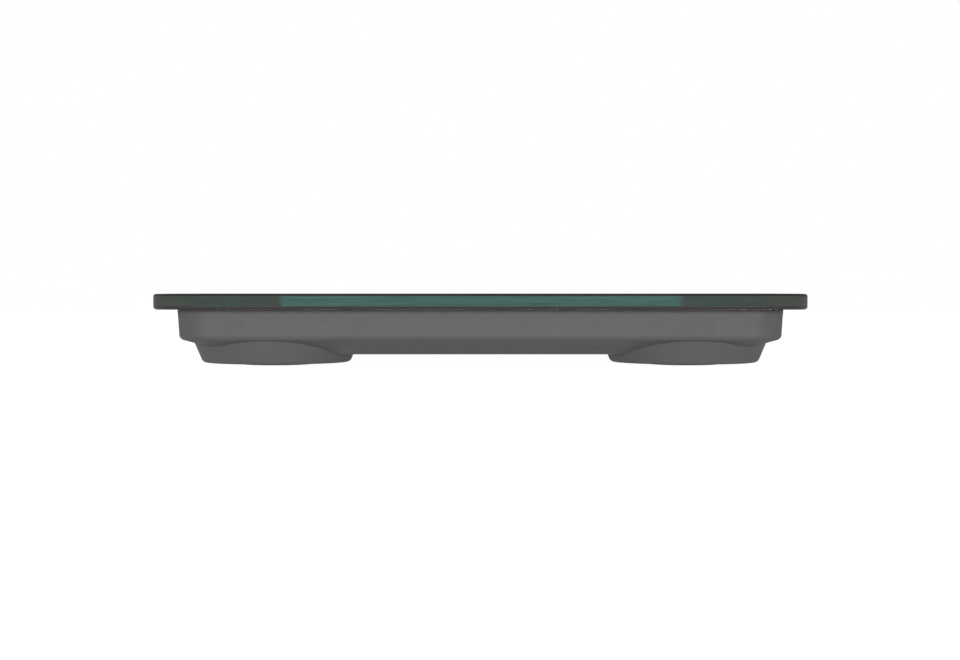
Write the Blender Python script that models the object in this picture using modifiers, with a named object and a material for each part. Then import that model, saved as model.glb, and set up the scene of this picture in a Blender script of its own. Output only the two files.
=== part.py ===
"""Slim kitchen scale with a glass platform, built as an assembly of its real pieces.

Metres, +Z up. X runs across the scale, -Y is its front edge, and the table is z = 0.
The glass is bonded with foam tape to a shallow moulded housing. A round pod in each corner of
the housing holds a load cell, which stands on a foot that slides a little in the pod's floor.
The circuit board and the display lie under the front of the glass. A coin cell sits behind a
small door in the underside, and a push button beside it changes the unit.
"""

import math

import bmesh
import bpy
from mathutils import Matrix, Vector

MM = 0.001

# ---- Driving dimensions -------------------------------------------------------------------
PLATE_WIDTH = 170 * MM
PLATE_DEPTH = 235 * MM
PLATE_THICKNESS = 4.0 * MM
PLATE_CORNER = 15 * MM
PLATE_ARRIS = 0.7 * MM  # radius of the ground edge, top and bottom

FIT_GAP = 0.3 * MM  # between pieces that are placed in or on each other
BOND_GAP = 0.1 * MM  # between faces that are taped together

FOOT_PROUD = 0.6 * MM  # how far a foot stands out of its pod
POD_RADIUS = 19.8 * MM  # at the pod's bottom
POD_FLARE = 0.42  # growth of the pod's radius for each unit of height
POD_EDGE = 0.9 * MM  # fillet of the pod's bottom edge
POD_ROOT = 0.4 * MM  # how far its cone runs on above the crease, inside the wall
POD_SIDE_INSET = 29.7 * MM  # from the side edge of the glass to the pod's axis
POD_FRONT_INSET = 30.3 * MM  # from the front edge of the glass to the pod's axis

UNDERSIDE_Z = 3.0 * MM
CREASE_Z = 7.2 * MM  # where the wall and the sloping underside would meet
CREASE_FILLET = 1.5 * MM
CHAMFER_SLOPE = math.radians(19.1)
HOUSING_INSET = 6.1 * MM  # how far the glass overhangs the housing
HOUSING_HEIGHT = 14.2 * MM  # from the pods' bottom to the rim
WALL_DRAFT = math.radians(3.3)
WALL = 1.8 * MM
FLOOR = 1.6 * MM
POD_FLOOR = 1.4 * MM

LIP = 0.7 * MM  # width of the wall's outer lip, which hides the tape
TAPE_THICKNESS = 0.4 * MM
TAPE_WIDTH = 6.0 * MM
RIB_THICKNESS = 1.0 * MM
RIB_DEPTH = 3.8 * MM
RIB_PITCH = 24 * MM

FOOT_FLANGE = 1.3 * MM  # how far the flange stands out from the foot, inside the pod
FOOT_FLANGE_THICKNESS = 1.0 * MM
FOOT_TRAVEL = 0.2 * MM  # bend of a load cell under the full load
FOOT_POST_RADIUS = 3.2 * MM
FOOT_EDGE = 0.3 * MM  # chamfer of its turned edges
PAD_MARGIN = 2.2 * MM  # the foot's rim round the pad
PAD_THICKNESS = 1.1 * MM
PAD_EDGE = 0.25 * MM

CELL_SIDE = 28 * MM  # load cell, a square stamped plate
CELL_THICKNESS = 1.4 * MM
CELL_Z = 5.7 * MM  # its lower face
CELL_RIM = 5 * MM  # width of the rim round its window
CELL_CORNER = 3 * MM
TONGUE_WIDTH = 8 * MM
TONGUE_TIP = 5 * MM  # how far the tongue reaches past the centre
COATING = (5.6 * MM, 4.0 * MM, 0.9 * MM)  # silicone over the strain gauges
COATING_EDGE = 0.35 * MM
RETAINER_THICKNESS = 1.2 * MM
RETAINER_INSET = 0.5 * MM  # from the load cell's edges to its own
SCREW_EDGE = 3 * MM  # from a load cell's edges to its screws and posts
SEAT_POST_RADIUS = 2.3 * MM

SCREW_RADIUS = 0.95 * MM
SCREW_HEAD_RADIUS = 2.0 * MM
SCREW_HEAD_HEIGHT = 1.2 * MM
SCREW_REACH = 3.0 * MM  # how deep a screw goes into its post
SCREW_POINT = 0.8 * MM  # length of its point

BOARD_WIDTH = 76 * MM
BOARD_DEPTH = 30 * MM
BOARD_THICKNESS = 1.2 * MM
BOARD_Z = 9.4 * MM
BOARD_FRONT_INSET = 12.5 * MM  # from the front edge of the glass
BOARD_POST_RADIUS = 2.4 * MM
BOARD_SCREW_EDGE = 4.0 * MM  # from the board's edges to its screws
BOARD_REST_EDGE = 8.0 * MM  # from its side edges to its rear posts
DISPLAY_WIDTH = 54 * MM
DISPLAY_DEPTH = 22 * MM
DISPLAY_THICKNESS = 2.0 * MM
DISPLAY_FORWARD = 1.0 * MM  # from the board's centre
HOLDER_BORDER = 2.0 * MM  # how far the display's holder reaches past it
KEY_SPRING_X = 34 * MM
KEY_SPRING_RADIUS = 3.0 * MM
KEY_WIRE_RADIUS = 0.3 * MM
KEY_TURNS = 3.5

BUTTON_RADIUS = 4.0 * MM
BUTTON_PROUD = 0.3 * MM
BUTTON_TRAVEL = 0.5 * MM
BUTTON_FLANGE = 1.0 * MM
BUTTON_FRONT_INSET = 33.5 * MM
SWITCH_SIDE = 6.0 * MM
SWITCH_HEIGHT = 2.4 * MM
PLUNGER_RADIUS = 1.7 * MM
PLUNGER_PROUD = 0.6 * MM
CHIP_RADIUS = 4.5 * MM
CHIP_HEIGHT = 1.4 * MM

COIN_RADIUS = 10 * MM  # a 20 mm coin cell, 3.2 mm thick
COIN_THICKNESS = 3.2 * MM
COIN_LIFT = 0.5 * MM  # from the door to the cell
COIN_FRONT_INSET = 70.5 * MM
BAY_WALL = 2.1 * MM
BAY_ROOF_THICKNESS = 1.2 * MM
DOOR_WIDTH = 26 * MM
DOOR_LENGTH = 30 * MM
DOOR_THICKNESS = 1.4 * MM
DOOR_LEDGE = 2.0 * MM
FINGER_NOTCH = (4.0 * MM, 0.7 * MM)  # its radius and its depth
CONTACT_THICKNESS = 0.3 * MM
CONTACT_WIDTH = 3.0 * MM
CONTACT_SPACING = 12 * MM
CONTACT_TAIL = 1.5 * MM  # how far a tail stands out of the bay's roof

LEAD_RADIUS = 0.7 * MM
BATTERY_LEAD_RADIUS = 0.5 * MM

# ---- Sizes that follow --------------------------------------------------------------------
POD_Z = FOOT_PROUD
RIM_Z = POD_Z + HOUSING_HEIGHT
GLASS_Z = RIM_Z + BOND_GAP
TAPE_Z = GLASS_Z - BOND_GAP - TAPE_THICKNESS
TAPE_SEAT_Z = TAPE_Z - BOND_GAP  # the ledge inside the lip
TOP_Z = GLASS_Z + PLATE_THICKNESS
FLOOR_Z = UNDERSIDE_Z + FLOOR
POD_FLOOR_Z = POD_Z + POD_FLOOR

RIM_X = PLATE_WIDTH / 2 - HOUSING_INSET
RIM_Y = PLATE_DEPTH / 2 - HOUSING_INSET
RIM_CORNER = PLATE_CORNER - HOUSING_INSET
CORNER_TAPER = 0.16  # loss of the corner radius for each unit that the shape comes in
CREASE_INSET = (RIM_Z - CREASE_Z) * math.tan(WALL_DRAFT)
CHAMFER_RUN = (CREASE_Z - UNDERSIDE_Z) / math.tan(CHAMFER_SLOPE)

POD_X = PLATE_WIDTH / 2 - POD_SIDE_INSET
POD_Y = PLATE_DEPTH / 2 - POD_FRONT_INSET
CORNERS = {
    "front_left": (-1, -1),
    "front_right": (1, -1),
    "rear_left": (-1, 1),
    "rear_right": (1, 1),
}

CELL_WINDOW = CELL_SIDE - 2 * CELL_RIM
SCREW_SPOT = CELL_SIDE / 2 - SCREW_EDGE
# The foot's flange fills the space between the posts that the load cell is screwed to.
FOOT_RADIUS = SCREW_SPOT * math.sqrt(2) - SEAT_POST_RADIUS - FIT_GAP - FOOT_FLANGE
PAD_RADIUS = FOOT_RADIUS - PAD_MARGIN
CELL_TOP = CELL_Z + CELL_THICKNESS
RETAINER_Z = CELL_TOP + FIT_GAP
RETAINER_TOP = RETAINER_Z + RETAINER_THICKNESS
BOARD_TOP = BOARD_Z + BOARD_THICKNESS
BOARD_Y = -PLATE_DEPTH / 2 + BOARD_FRONT_INSET + BOARD_DEPTH / 2
BOARD_REAR = BOARD_Y + BOARD_DEPTH / 2
BOARD_SCREW = (
    BOARD_WIDTH / 2 - BOARD_SCREW_EDGE,
    BOARD_Y - BOARD_DEPTH / 2 + BOARD_SCREW_EDGE,
)
BOARD_REST = (BOARD_WIDTH / 2 - BOARD_REST_EDGE, BOARD_REAR - BOARD_SCREW_EDGE)
DISPLAY_Y = BOARD_Y - DISPLAY_FORWARD
DISPLAY_TOP = GLASS_Z - FIT_GAP
DISPLAY_Z = DISPLAY_TOP - DISPLAY_THICKNESS
HOLDER_Z = BOARD_TOP + FIT_GAP
HOLDER_TOP = DISPLAY_Z - FIT_GAP

BUTTON_Y = -PLATE_DEPTH / 2 + BUTTON_FRONT_INSET
SWITCH_TOP = BOARD_Z - FIT_GAP
SWITCH_Z = SWITCH_TOP - SWITCH_HEIGHT
PLUNGER_Z = SWITCH_Z - PLUNGER_PROUD
BUTTON_TOP = PLUNGER_Z - BUTTON_TRAVEL - FIT_GAP

COIN_Y = -PLATE_DEPTH / 2 + COIN_FRONT_INSET
DOOR_AXIS_Y = COIN_Y + DOOR_LENGTH / 2
DOOR_AXIS_Z = UNDERSIDE_Z + DOOR_THICKNESS / 2
DOOR_TOP = UNDERSIDE_Z + DOOR_THICKNESS
COIN_Z = DOOR_TOP + COIN_LIFT
BAY_ROOF = COIN_Z + COIN_THICKNESS + 3 * CONTACT_THICKNESS
BAY_TOP = BAY_ROOF + BAY_ROOF_THICKNESS
BAY_X = DOOR_WIDTH / 2 + FIT_GAP + BAY_WALL
BAY_Y = DOOR_LENGTH / 2 + DOOR_THICKNESS / 2 + FIT_GAP + BAY_WALL


# ---- Scene, materials and helpers ---------------------------------------------------------
for old in list(bpy.data.objects):
    bpy.data.objects.remove(old, do_unlink=True)
PARTS = bpy.data.collections.new("kitchen_scale")
CUTTERS = bpy.data.collections.new("kitchen_scale_cutters")
for collection in (PARTS, CUTTERS):
    bpy.context.scene.collection.children.link(collection)


def finish(name, colour, roughness, metallic=0.0):
    """A Principled material of one colour."""
    material = bpy.data.materials.new(name)
    material.use_nodes = True
    shader = material.node_tree.nodes["Principled BSDF"]
    shader.inputs["Base Color"].default_value = (*colour, 1)
    shader.inputs["Roughness"].default_value = roughness
    shader.inputs["Metallic"].default_value = metallic
    return material


GLASS = finish("green_tinted_glass", (0.28, 0.42, 0.38), 0.05)
TAPE = finish("black_foam_tape", (0.02, 0.02, 0.02), 0.9)
HOUSING = finish("grey_moulded_plastic", (0.14, 0.14, 0.14), 0.5)
DARK_PLASTIC = finish("dark_plastic", (0.03, 0.03, 0.032), 0.5)
WHITE_PLASTIC = finish("white_plastic", (0.75, 0.75, 0.73), 0.45)
RUBBER = finish("grey_rubber", (0.05, 0.05, 0.05), 0.85)
STEEL = finish("stamped_steel", (0.5, 0.5, 0.5), 0.35, 1.0)
ZINC = finish("zinc_plated_steel", (0.55, 0.55, 0.58), 0.3, 1.0)
SPRING_STEEL = finish("nickel_plated_spring", (0.66, 0.64, 0.6), 0.25, 1.0)
SILICONE = finish("white_silicone", (0.8, 0.8, 0.78), 0.6)
BOARD = finish("green_circuit_board", (0.02, 0.13, 0.05), 0.4)
EPOXY = finish("black_epoxy", (0.01, 0.01, 0.01), 0.3)
DISPLAY = finish("display_glass", (0.3, 0.33, 0.28), 0.1)
ELASTOMER = finish("striped_elastomer", (0.5, 0.45, 0.4), 0.7)
RED_LEAD = finish("red_insulation", (0.5, 0.02, 0.02), 0.45)
BLACK_LEAD = finish("black_insulation", (0.015, 0.015, 0.015), 0.45)
GREY_LEAD = finish("grey_insulation", (0.3, 0.3, 0.3), 0.5)


def add(name, mesh, material=None):
    """An object of this mesh: a part if it has a material, and otherwise a cutter."""
    thing = bpy.data.objects.new(name, mesh)
    if material is None:
        CUTTERS.objects.link(thing)
        thing.hide_render = True
        thing.display_type = "WIRE"
    else:
        PARTS.objects.link(thing)
        mesh.materials.append(material)
    return thing


def from_bmesh(name, bm, material=None):
    mesh = bpy.data.meshes.new(name)
    bm.to_mesh(mesh)
    bm.free()
    return add(name, mesh, material)


def smooth(thing, angle=40):
    thing.data.shade_smooth()
    thing.data.set_sharp_from_angle(angle=math.radians(angle))
    return thing


def boolean(thing, other, operation):
    modifier = thing.modifiers.new(other.name, "BOOLEAN")
    modifier.operation = operation
    modifier.solver = "EXACT"
    modifier.object = other


def cut(thing, *others):
    for other in others:
        boolean(thing, other, "DIFFERENCE")


def join(thing, *others):
    for other in others:
        boolean(thing, other, "UNION")


def add_box(bm, low, high):
    """A box between two corners."""
    low, high = Vector(low), Vector(high)
    place = Matrix.Translation((low + high) / 2) @ Matrix.Diagonal((*(high - low), 1))
    return bmesh.ops.create_cube(bm, size=1, matrix=place)["verts"]


def add_rod(bm, x, y, low, high, radius, top_radius=None, segments=24):
    """An upright cylinder, or a cone if its top radius differs."""
    place = Matrix.Translation((x, y, (low + high) / 2))
    return bmesh.ops.create_cone(
        bm,
        cap_ends=True,
        segments=segments,
        radius1=radius,
        radius2=radius if top_radius is None else top_radius,
        depth=high - low,
        matrix=place,
    )["verts"]


def box(name, low, high, material=None):
    bm = bmesh.new()
    add_box(bm, low, high)
    return from_bmesh(name, bm, material)


def rounded_box(name, low, high, radius, material, segments=2, upright_only=False):
    """A box whose edges, or only its upright ones, are rounded."""
    bm = bmesh.new()
    add_box(bm, low, high)
    edges = [
        edge
        for edge in bm.edges
        if not upright_only or abs(edge.verts[0].co.z - edge.verts[1].co.z) > radius
    ]
    bmesh.ops.bevel(
        bm, geom=edges, offset=radius, segments=segments, profile=0.5, affect="EDGES"
    )
    return from_bmesh(name, bm, material)


def turned(name, profile, x, y, material, steps=24):
    """A turned piece: (radius, height) points down its outer side, from axis to axis."""
    mesh = bpy.data.meshes.new(name)
    points = [(radius, 0, height) for radius, height in profile]
    edges = [(i, i + 1) for i in range(len(points) - 1)]
    mesh.from_pydata(points, edges, [])
    thing = add(name, mesh, material)
    thing.location = (x, y, 0)
    screw = thing.modifiers.new("turn", "SCREW")
    screw.steps = screw.render_steps = steps
    screw.use_merge_vertices = True
    screw.merge_threshold = 0.00001
    screw.use_smooth_shade = True
    return thing


def rounded_outline(half_x, half_y, radius, segments=8):
    """Points anticlockwise round a rectangle whose corners are arcs."""
    points = []
    for turn in range(4):
        sign_x, sign_y = ((1, 1), (-1, 1), (-1, -1), (1, -1))[turn]
        for step in range(segments + 1):
            angle = (turn + step / segments) * math.pi / 2
            points.append(
                (
                    sign_x * (half_x - radius) + radius * math.cos(angle),
                    sign_y * (half_y - radius) + radius * math.sin(angle),
                )
            )
    return points


def loft(name, levels, material=None):
    """A closed body through rounded rectangles of (half_x, half_y, radius, height), upwards."""
    bm = bmesh.new()
    rings = [
        [bm.verts.new((x, y, height)) for x, y in rounded_outline(half_x, half_y, radius)]
        for half_x, half_y, radius, height in levels
    ]
    for lower, upper in zip(rings, rings[1:]):
        for i in range(len(lower)):
            j = (i + 1) % len(lower)
            bm.faces.new((lower[i], lower[j], upper[j], upper[i]))
    bm.faces.new(reversed(rings[0]))
    bm.faces.new(rings[-1])
    return from_bmesh(name, bm, material)


def arc(centre, radius, start, end, segments):
    """Points of an arc in a plane, angles in degrees."""
    angles = [math.radians(start + (end - start) * i / segments) for i in range(segments + 1)]
    return [
        (centre[0] + radius * math.cos(a), centre[1] + radius * math.sin(a)) for a in angles
    ]


def as_mesh(name, curve, material):
    """The curve's own solid as a mesh, with its caps welded."""
    guide = bpy.data.objects.new(name + "_guide", curve)
    CUTTERS.objects.link(guide)
    bpy.context.view_layer.update()
    graph = bpy.context.evaluated_depsgraph_get()
    mesh = bpy.data.meshes.new_from_object(guide.evaluated_get(graph))
    bpy.data.objects.remove(guide)
    bm = bmesh.new()
    bm.from_mesh(mesh)
    bmesh.ops.remove_doubles(bm, verts=bm.verts[:], dist=0.00001)
    bm.to_mesh(mesh)
    bm.free()
    mesh.materials.clear()
    mesh.name = name
    return add(name, mesh, material)


def flat_plate(name, outlines, low, thickness, material):
    """A plate cut to its outlines: the first is its edge, and the others are holes."""
    curve = bpy.data.curves.new(name, "CURVE")
    curve.dimensions = "2D"
    curve.fill_mode = "BOTH"
    curve.extrude = thickness / 2
    for outline in outlines:
        spline = curve.splines.new("POLY")
        spline.points.add(len(outline) - 1)
        for point, (x, y) in zip(spline.points, outline):
            point.co = (x, y, 0, 1)
        spline.use_cyclic_u = True
    plate = as_mesh(name, curve, material)
    plate.data.transform(Matrix.Translation((0, 0, low + thickness / 2)))
    return plate


def circle(x, y, radius, segments=12):
    return [(px + x, py + y) for px, py in arc((0, 0), radius, 0, 360, segments)[:-1]]


def smooth_route(points, pieces=4):
    """A smooth curve through the points (Catmull-Rom), with so many pieces between them."""
    ends = [2 * points[0] - points[1], *points, 2 * points[-1] - points[-2]]
    route = []
    for before, start, end, after in zip(ends, ends[1:], ends[2:], ends[3:]):
        for step in range(pieces):
            t = step / pieces
            route.append(
                0.5
                * (
                    2 * start
                    + (end - before) * t
                    + (2 * before - 5 * start + 4 * end - after) * t**2
                    + (3 * start - before - 3 * end + after) * t**3
                )
            )
    return route + [points[-1]]


def tube(name, route, radius, material, resolution=1):
    """A wire of this radius along the route, with flat ends."""
    curve = bpy.data.curves.new(name, "CURVE")
    curve.dimensions = "3D"
    curve.bevel_depth = radius
    curve.bevel_resolution = resolution
    curve.use_fill_caps = True
    spline = curve.splines.new("POLY")
    spline.points.add(len(route) - 1)
    for point, place in zip(spline.points, route):
        point.co = (*place, 1)
    wire = bpy.data.objects.new(name, curve)
    PARTS.objects.link(wire)
    curve.materials.append(material)
    return wire


def bent_strip(name, path, x, width, material):
    """Sheet metal bent along a path of (y, z) points, its width running along X."""
    bm = bmesh.new()
    line = [bm.verts.new((x - width / 2, y, z)) for y, z in path]
    edges = [bm.edges.new(pair) for pair in zip(line, line[1:])]
    grown = bmesh.ops.extrude_edge_only(bm, edges=edges)["geom"]
    moved = [item for item in grown if isinstance(item, bmesh.types.BMVert)]
    bmesh.ops.translate(bm, vec=(width, 0, 0), verts=moved)
    strip = from_bmesh(name, bm, material)
    solid = strip.modifiers.new("thickness", "SOLIDIFY")
    solid.thickness = CONTACT_THICKNESS
    solid.offset = 0
    solid.use_even_offset = True
    return strip


def at_corner(sign_x, sign_y, across=0.0, along=0.0):
    """A place near a pod: across and along grow outwards from the pod's axis."""
    return sign_x * (POD_X + across), sign_y * (POD_Y + along)


# ---- Glass platform and its tape ----------------------------------------------------------
def glass_platform():
    """The tempered glass, with a rounded arris round both faces."""
    half_x, half_y = PLATE_WIDTH / 2, PLATE_DEPTH / 2
    lower = arc((-PLATE_ARRIS, PLATE_ARRIS), PLATE_ARRIS, -90, 0, 3)
    upper = arc((-PLATE_ARRIS, PLATE_THICKNESS - PLATE_ARRIS), PLATE_ARRIS, 0, 90, 3)
    levels = [
        (half_x + inset, half_y + inset, PLATE_CORNER + inset, GLASS_Z + height)
        for inset, height in lower + upper
    ]
    return smooth(loft("glass_platform", levels, GLASS))


def bonding_tape():
    """A frame of foam tape inside the housing's lip, over its ledge and ribs."""
    inset = LIP + BOND_GAP
    outer = RIM_X - inset, RIM_Y - inset, RIM_CORNER - inset
    inner = tuple(size - TAPE_WIDTH for size in outer)
    outlines = [
        rounded_outline(*outer),
        rounded_outline(inner[0], inner[1], max(inner[2], 1 * MM)),
    ]
    return flat_plate("bonding_tape", outlines, TAPE_Z, TAPE_THICKNESS, TAPE)


# ---- Housing ------------------------------------------------------------------------------
def wall_inset(height):
    """How far the drafted wall has come in at this height."""
    return (RIM_Z - height) * math.tan(WALL_DRAFT)


def section_level(inset, height, wall=0.0):
    """One level of the housing, its corners getting tighter as it comes in."""
    radius = RIM_CORNER - CORNER_TAPER * inset - wall
    return RIM_X - inset - wall, RIM_Y - inset - wall, max(radius, 1 * MM), height


def outer_levels():
    """The housing's outside: flat underside, sloping chamfer, fillet and drafted wall."""
    turn = math.pi / 2 - CHAMFER_SLOPE - WALL_DRAFT
    tangent = CREASE_FILLET * math.tan(turn / 2)
    start = Vector(
        (
            CREASE_INSET + tangent * math.cos(CHAMFER_SLOPE),
            CREASE_Z - tangent * math.sin(CHAMFER_SLOPE),
        )
    )
    normal = Vector((math.sin(CHAMFER_SLOPE), math.cos(CHAMFER_SLOPE)))
    centre = start + normal * CREASE_FILLET
    first = -90 - math.degrees(CHAMFER_SLOPE)
    last = -180 + math.degrees(WALL_DRAFT)
    fillet = arc(centre, CREASE_FILLET, first, last, 5)
    profile = [(CREASE_INSET + CHAMFER_RUN, UNDERSIDE_Z), *fillet, (0.0, RIM_Z)]
    return [section_level(inset, height) for inset, height in profile]


def inner_levels():
    """The hollow, a wall thickness inside the outer shape and open at the top."""
    raise_by = FLOOR / math.cos(CHAMFER_SLOPE)
    crease = CREASE_Z + raise_by - WALL * math.tan(CHAMFER_SLOPE)
    run = (crease - FLOOR_Z) / math.tan(CHAMFER_SLOPE)
    over = RIM_Z + 1 * MM
    return [
        section_level(wall_inset(crease) + run, FLOOR_Z, WALL),
        section_level(wall_inset(crease), crease, WALL),
        section_level(wall_inset(over), over, WALL),
    ]


def tape_ledge():
    """The step inside the wall's lip that the tape lies on."""
    levels = [section_level(0.0, height, LIP) for height in (TAPE_SEAT_Z, RIM_Z + 1 * MM)]
    return loft("tape_ledge", levels)


def pod_shape(name, low, high, radius, edge=0.0):
    """The four pods' cones, flaring upwards, with a fillet round the bottom edge."""
    bm = bmesh.new()
    for signs in CORNERS.values():
        top = radius + POD_FLARE * (high - low)
        verts = add_rod(bm, *at_corner(*signs), low, high, radius, top, segments=48)
        rim = {
            link
            for vert in verts
            if vert.co.z < (low + high) / 2
            for link in vert.link_edges
            if link.other_vert(vert).co.z < (low + high) / 2
        }
        if edge:
            bmesh.ops.bevel(
                bm, geom=list(rim), offset=edge, segments=3, profile=0.5, affect="EDGES"
            )
    return from_bmesh(name, bm)


def chamfer_middle(distance):
    """A height inside the chamfer's thickness, at this distance in from the wall."""
    return CREASE_Z - distance * math.tan(CHAMFER_SLOPE) + FLOOR / 2


def perimeter_ribs():
    """Ribs that stand on the wall and carry the glass beside the rim."""
    bm = bmesh.new()
    start, end, top = WALL / 2, WALL + RIB_DEPTH, TAPE_SEAT_Z - BOND_GAP
    profile = (
        (start, top),
        (end, top),
        (end, chamfer_middle(end)),
        (start, chamfer_middle(start)),
    )
    for half, reach, turn in (
        (RIM_Y, RIM_X, 0),
        (RIM_X, RIM_Y, math.pi / 2),
    ):
        span = half - RIM_CORNER - RIB_THICKNESS
        count = int(span / RIB_PITCH)
        for side in (0, math.pi):
            for i in range(-count, count + 1):
                face = bm.faces.new(
                    bm.verts.new((reach - inset, i * RIB_PITCH - RIB_THICKNESS / 2, height))
                    for inset, height in profile
                )
                grown = bmesh.ops.extrude_face_region(bm, geom=[face])["geom"]
                moved = [item for item in grown if isinstance(item, bmesh.types.BMVert)]
                bmesh.ops.translate(bm, vec=(0, RIB_THICKNESS, 0), verts=moved)
                everything = moved + list(face.verts)
                spin = Matrix.Rotation(turn + side, 4, "Z")
                bmesh.ops.transform(bm, matrix=spin, verts=everything)
    bmesh.ops.recalc_face_normals(bm, faces=bm.faces[:])
    return from_bmesh("rib_shape", bm)


def posts():
    """Posts under the load cells' corners and under the circuit board."""
    bm = bmesh.new()
    low = (POD_Z + POD_FLOOR_Z) / 2
    for signs in CORNERS.values():
        for across in (-SCREW_SPOT, SCREW_SPOT):
            for along in (-SCREW_SPOT, SCREW_SPOT):
                x, y = at_corner(*signs, across, along)
                top = CELL_Z - BOND_GAP
                add_rod(bm, x, y, low, top, SEAT_POST_RADIUS, segments=12)
    for side in (-1, 1):
        for x, y in (BOARD_SCREW, BOARD_REST):
            inset = max(0.0, -y - (RIM_Y - CREASE_INSET - CHAMFER_RUN))
            low = UNDERSIDE_Z + FLOOR / 2 + inset * math.tan(CHAMFER_SLOPE)
            add_rod(bm, side * x, y, low, BOARD_Z - BOND_GAP, BOARD_POST_RADIUS, segments=12)
    return from_bmesh("post_shape", bm)


def pilot_holes():
    """Holes in the posts for their screws."""
    bm = bmesh.new()
    radius = SCREW_RADIUS + FIT_GAP
    for signs in CORNERS.values():
        for turn in (-1, 1):
            x, y = at_corner(*signs, turn * SCREW_SPOT, -turn * SCREW_SPOT)
            low = CELL_Z - SCREW_REACH - FIT_GAP
            add_rod(bm, x, y, low, CELL_Z + FIT_GAP, radius, segments=12)
    for side in (-1, 1):
        x, y = BOARD_SCREW
        low = BOARD_Z - SCREW_REACH - FIT_GAP
        add_rod(bm, side * x, y, low, BOARD_Z + FIT_GAP, radius, segments=12)
    return from_bmesh("pilot_shape", bm)


def floor_openings():
    """Holes through the pods' floors for the feet, and through the underside for the button."""
    bm = bmesh.new()
    for signs in CORNERS.values():
        x, y = at_corner(*signs)
        top = POD_FLOOR_Z + FIT_GAP
        add_rod(bm, x, y, POD_Z - FIT_GAP, top, FOOT_RADIUS + FIT_GAP, segments=36)
    low, high = UNDERSIDE_Z - FIT_GAP, FLOOR_Z + FIT_GAP
    add_rod(bm, 0, BUTTON_Y, low, high, BUTTON_RADIUS + FIT_GAP)
    return from_bmesh("floor_opening_shape", bm)


def battery_bay():
    """The block that the coin cell's bay is cut from."""
    low = (-BAY_X, COIN_Y - BAY_Y, UNDERSIDE_Z + FLOOR / 2)
    return box("bay_shape", low, (BAY_X, COIN_Y + BAY_Y, BAY_TOP))


def bay_hollow():
    """Room for the coin cell and its contacts, with a ledge round it for the door."""
    half_x = DOOR_WIDTH / 2 + FIT_GAP - DOOR_LEDGE
    front = DOOR_AXIS_Y - DOOR_LENGTH - FIT_GAP
    rear = DOOR_AXIS_Y + DOOR_THICKNESS / 2 + FIT_GAP
    low = (-half_x, front + 2 * DOOR_LEDGE, UNDERSIDE_Z - FIT_GAP)
    return box("bay_hollow", low, (half_x, rear - 2 * DOOR_LEDGE, BAY_ROOF))


def door_recess():
    """The step that the door closes into, flush with the underside."""
    half_x = DOOR_WIDTH / 2 + FIT_GAP
    front = DOOR_AXIS_Y - DOOR_LENGTH - FIT_GAP
    rear = DOOR_AXIS_Y + DOOR_THICKNESS / 2 + FIT_GAP
    low = (-half_x, front, UNDERSIDE_Z - FIT_GAP)
    return box("door_recess", low, (half_x, rear, DOOR_TOP + FIT_GAP))


def contact_slots():
    """Slots in the bay's roof for the two contacts' tails."""
    bm = bmesh.new()
    for x, y, width in (tail_place(-1), tail_place(1)):
        half_x = width / 2 + FIT_GAP
        half_y = CONTACT_THICKNESS / 2 + FIT_GAP
        low = (x - half_x, y - half_y, BAY_ROOF - FIT_GAP)
        add_box(bm, low, (x + half_x, y + half_y, BAY_TOP + FIT_GAP))
    return from_bmesh("contact_slots", bm)


def base_housing():
    housing = loft("base_housing", outer_levels(), HOUSING)
    top = CREASE_Z + POD_ROOT
    join(housing, pod_shape("pod_shape", POD_Z, top, POD_RADIUS, POD_EDGE))
    cut(housing, loft("hollow_shape", inner_levels()), tape_ledge())
    inner_radius = POD_RADIUS + POD_FLARE * POD_FLOOR - WALL
    cut(housing, pod_shape("pod_hollow", POD_FLOOR_Z, top + 3 * FIT_GAP, inner_radius))
    join(housing, perimeter_ribs(), posts(), battery_bay())
    cut(housing, bay_hollow(), door_recess(), contact_slots())
    cut(housing, pilot_holes(), floor_openings())
    return smooth(housing, 30)


# ---- Load cells, feet and what holds them -------------------------------------------------
def placed(outline, signs):
    """An outline drawn about a pod's axis, moved to one of the pods."""
    return [at_corner(*signs, across, along) for across, along in outline]


def screw_holes(signs):
    return [
        placed(circle(turn * SCREW_SPOT, -turn * SCREW_SPOT, SCREW_RADIUS + FIT_GAP), signs)
        for turn in (-1, 1)
    ]


def load_cell(corner, signs):
    """A stamped steel plate whose tongue, in its window, bears on the foot's post."""
    window, tongue = CELL_WINDOW / 2, TONGUE_WIDTH / 2
    slot = [
        (-window, window),
        (window, window),
        (window, -window),
        (tongue, -window),
        (tongue, TONGUE_TIP),
        (-tongue, TONGUE_TIP),
        (-tongue, -window),
        (-window, -window),
    ]
    edge = rounded_outline(CELL_SIDE / 2, CELL_SIDE / 2, CELL_CORNER, 3)
    outlines = [placed(edge, signs), placed(slot, signs), *screw_holes(signs)]
    return flat_plate(f"load_cell_{corner}", outlines, CELL_Z, CELL_THICKNESS, STEEL)


def gauge_coating(corner, signs):
    """The silicone over the strain gauges, at the root of the tongue."""
    low = Vector((*at_corner(*signs, 0, -CELL_WINDOW / 3), CELL_TOP + BOND_GAP))
    low -= Vector((COATING[0] / 2, COATING[1] / 2, 0))
    name = f"gauge_coating_{corner}"
    return smooth(rounded_box(name, low, low + Vector(COATING), COATING_EDGE, SILICONE))


def cell_retainer(corner, signs):
    """The plastic frame that two screws press on the load cell's rim."""
    half = CELL_SIDE / 2 - RETAINER_INSET
    outlines = [
        placed(rounded_outline(half, half, CELL_CORNER, 3), signs),
        placed(rounded_outline(CELL_WINDOW / 2, CELL_WINDOW / 2, 1 * MM, 2), signs),
        *screw_holes(signs),
    ]
    name = f"cell_retainer_{corner}"
    return flat_plate(name, outlines, RETAINER_Z, RETAINER_THICKNESS, WHITE_PLASTIC)


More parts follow.
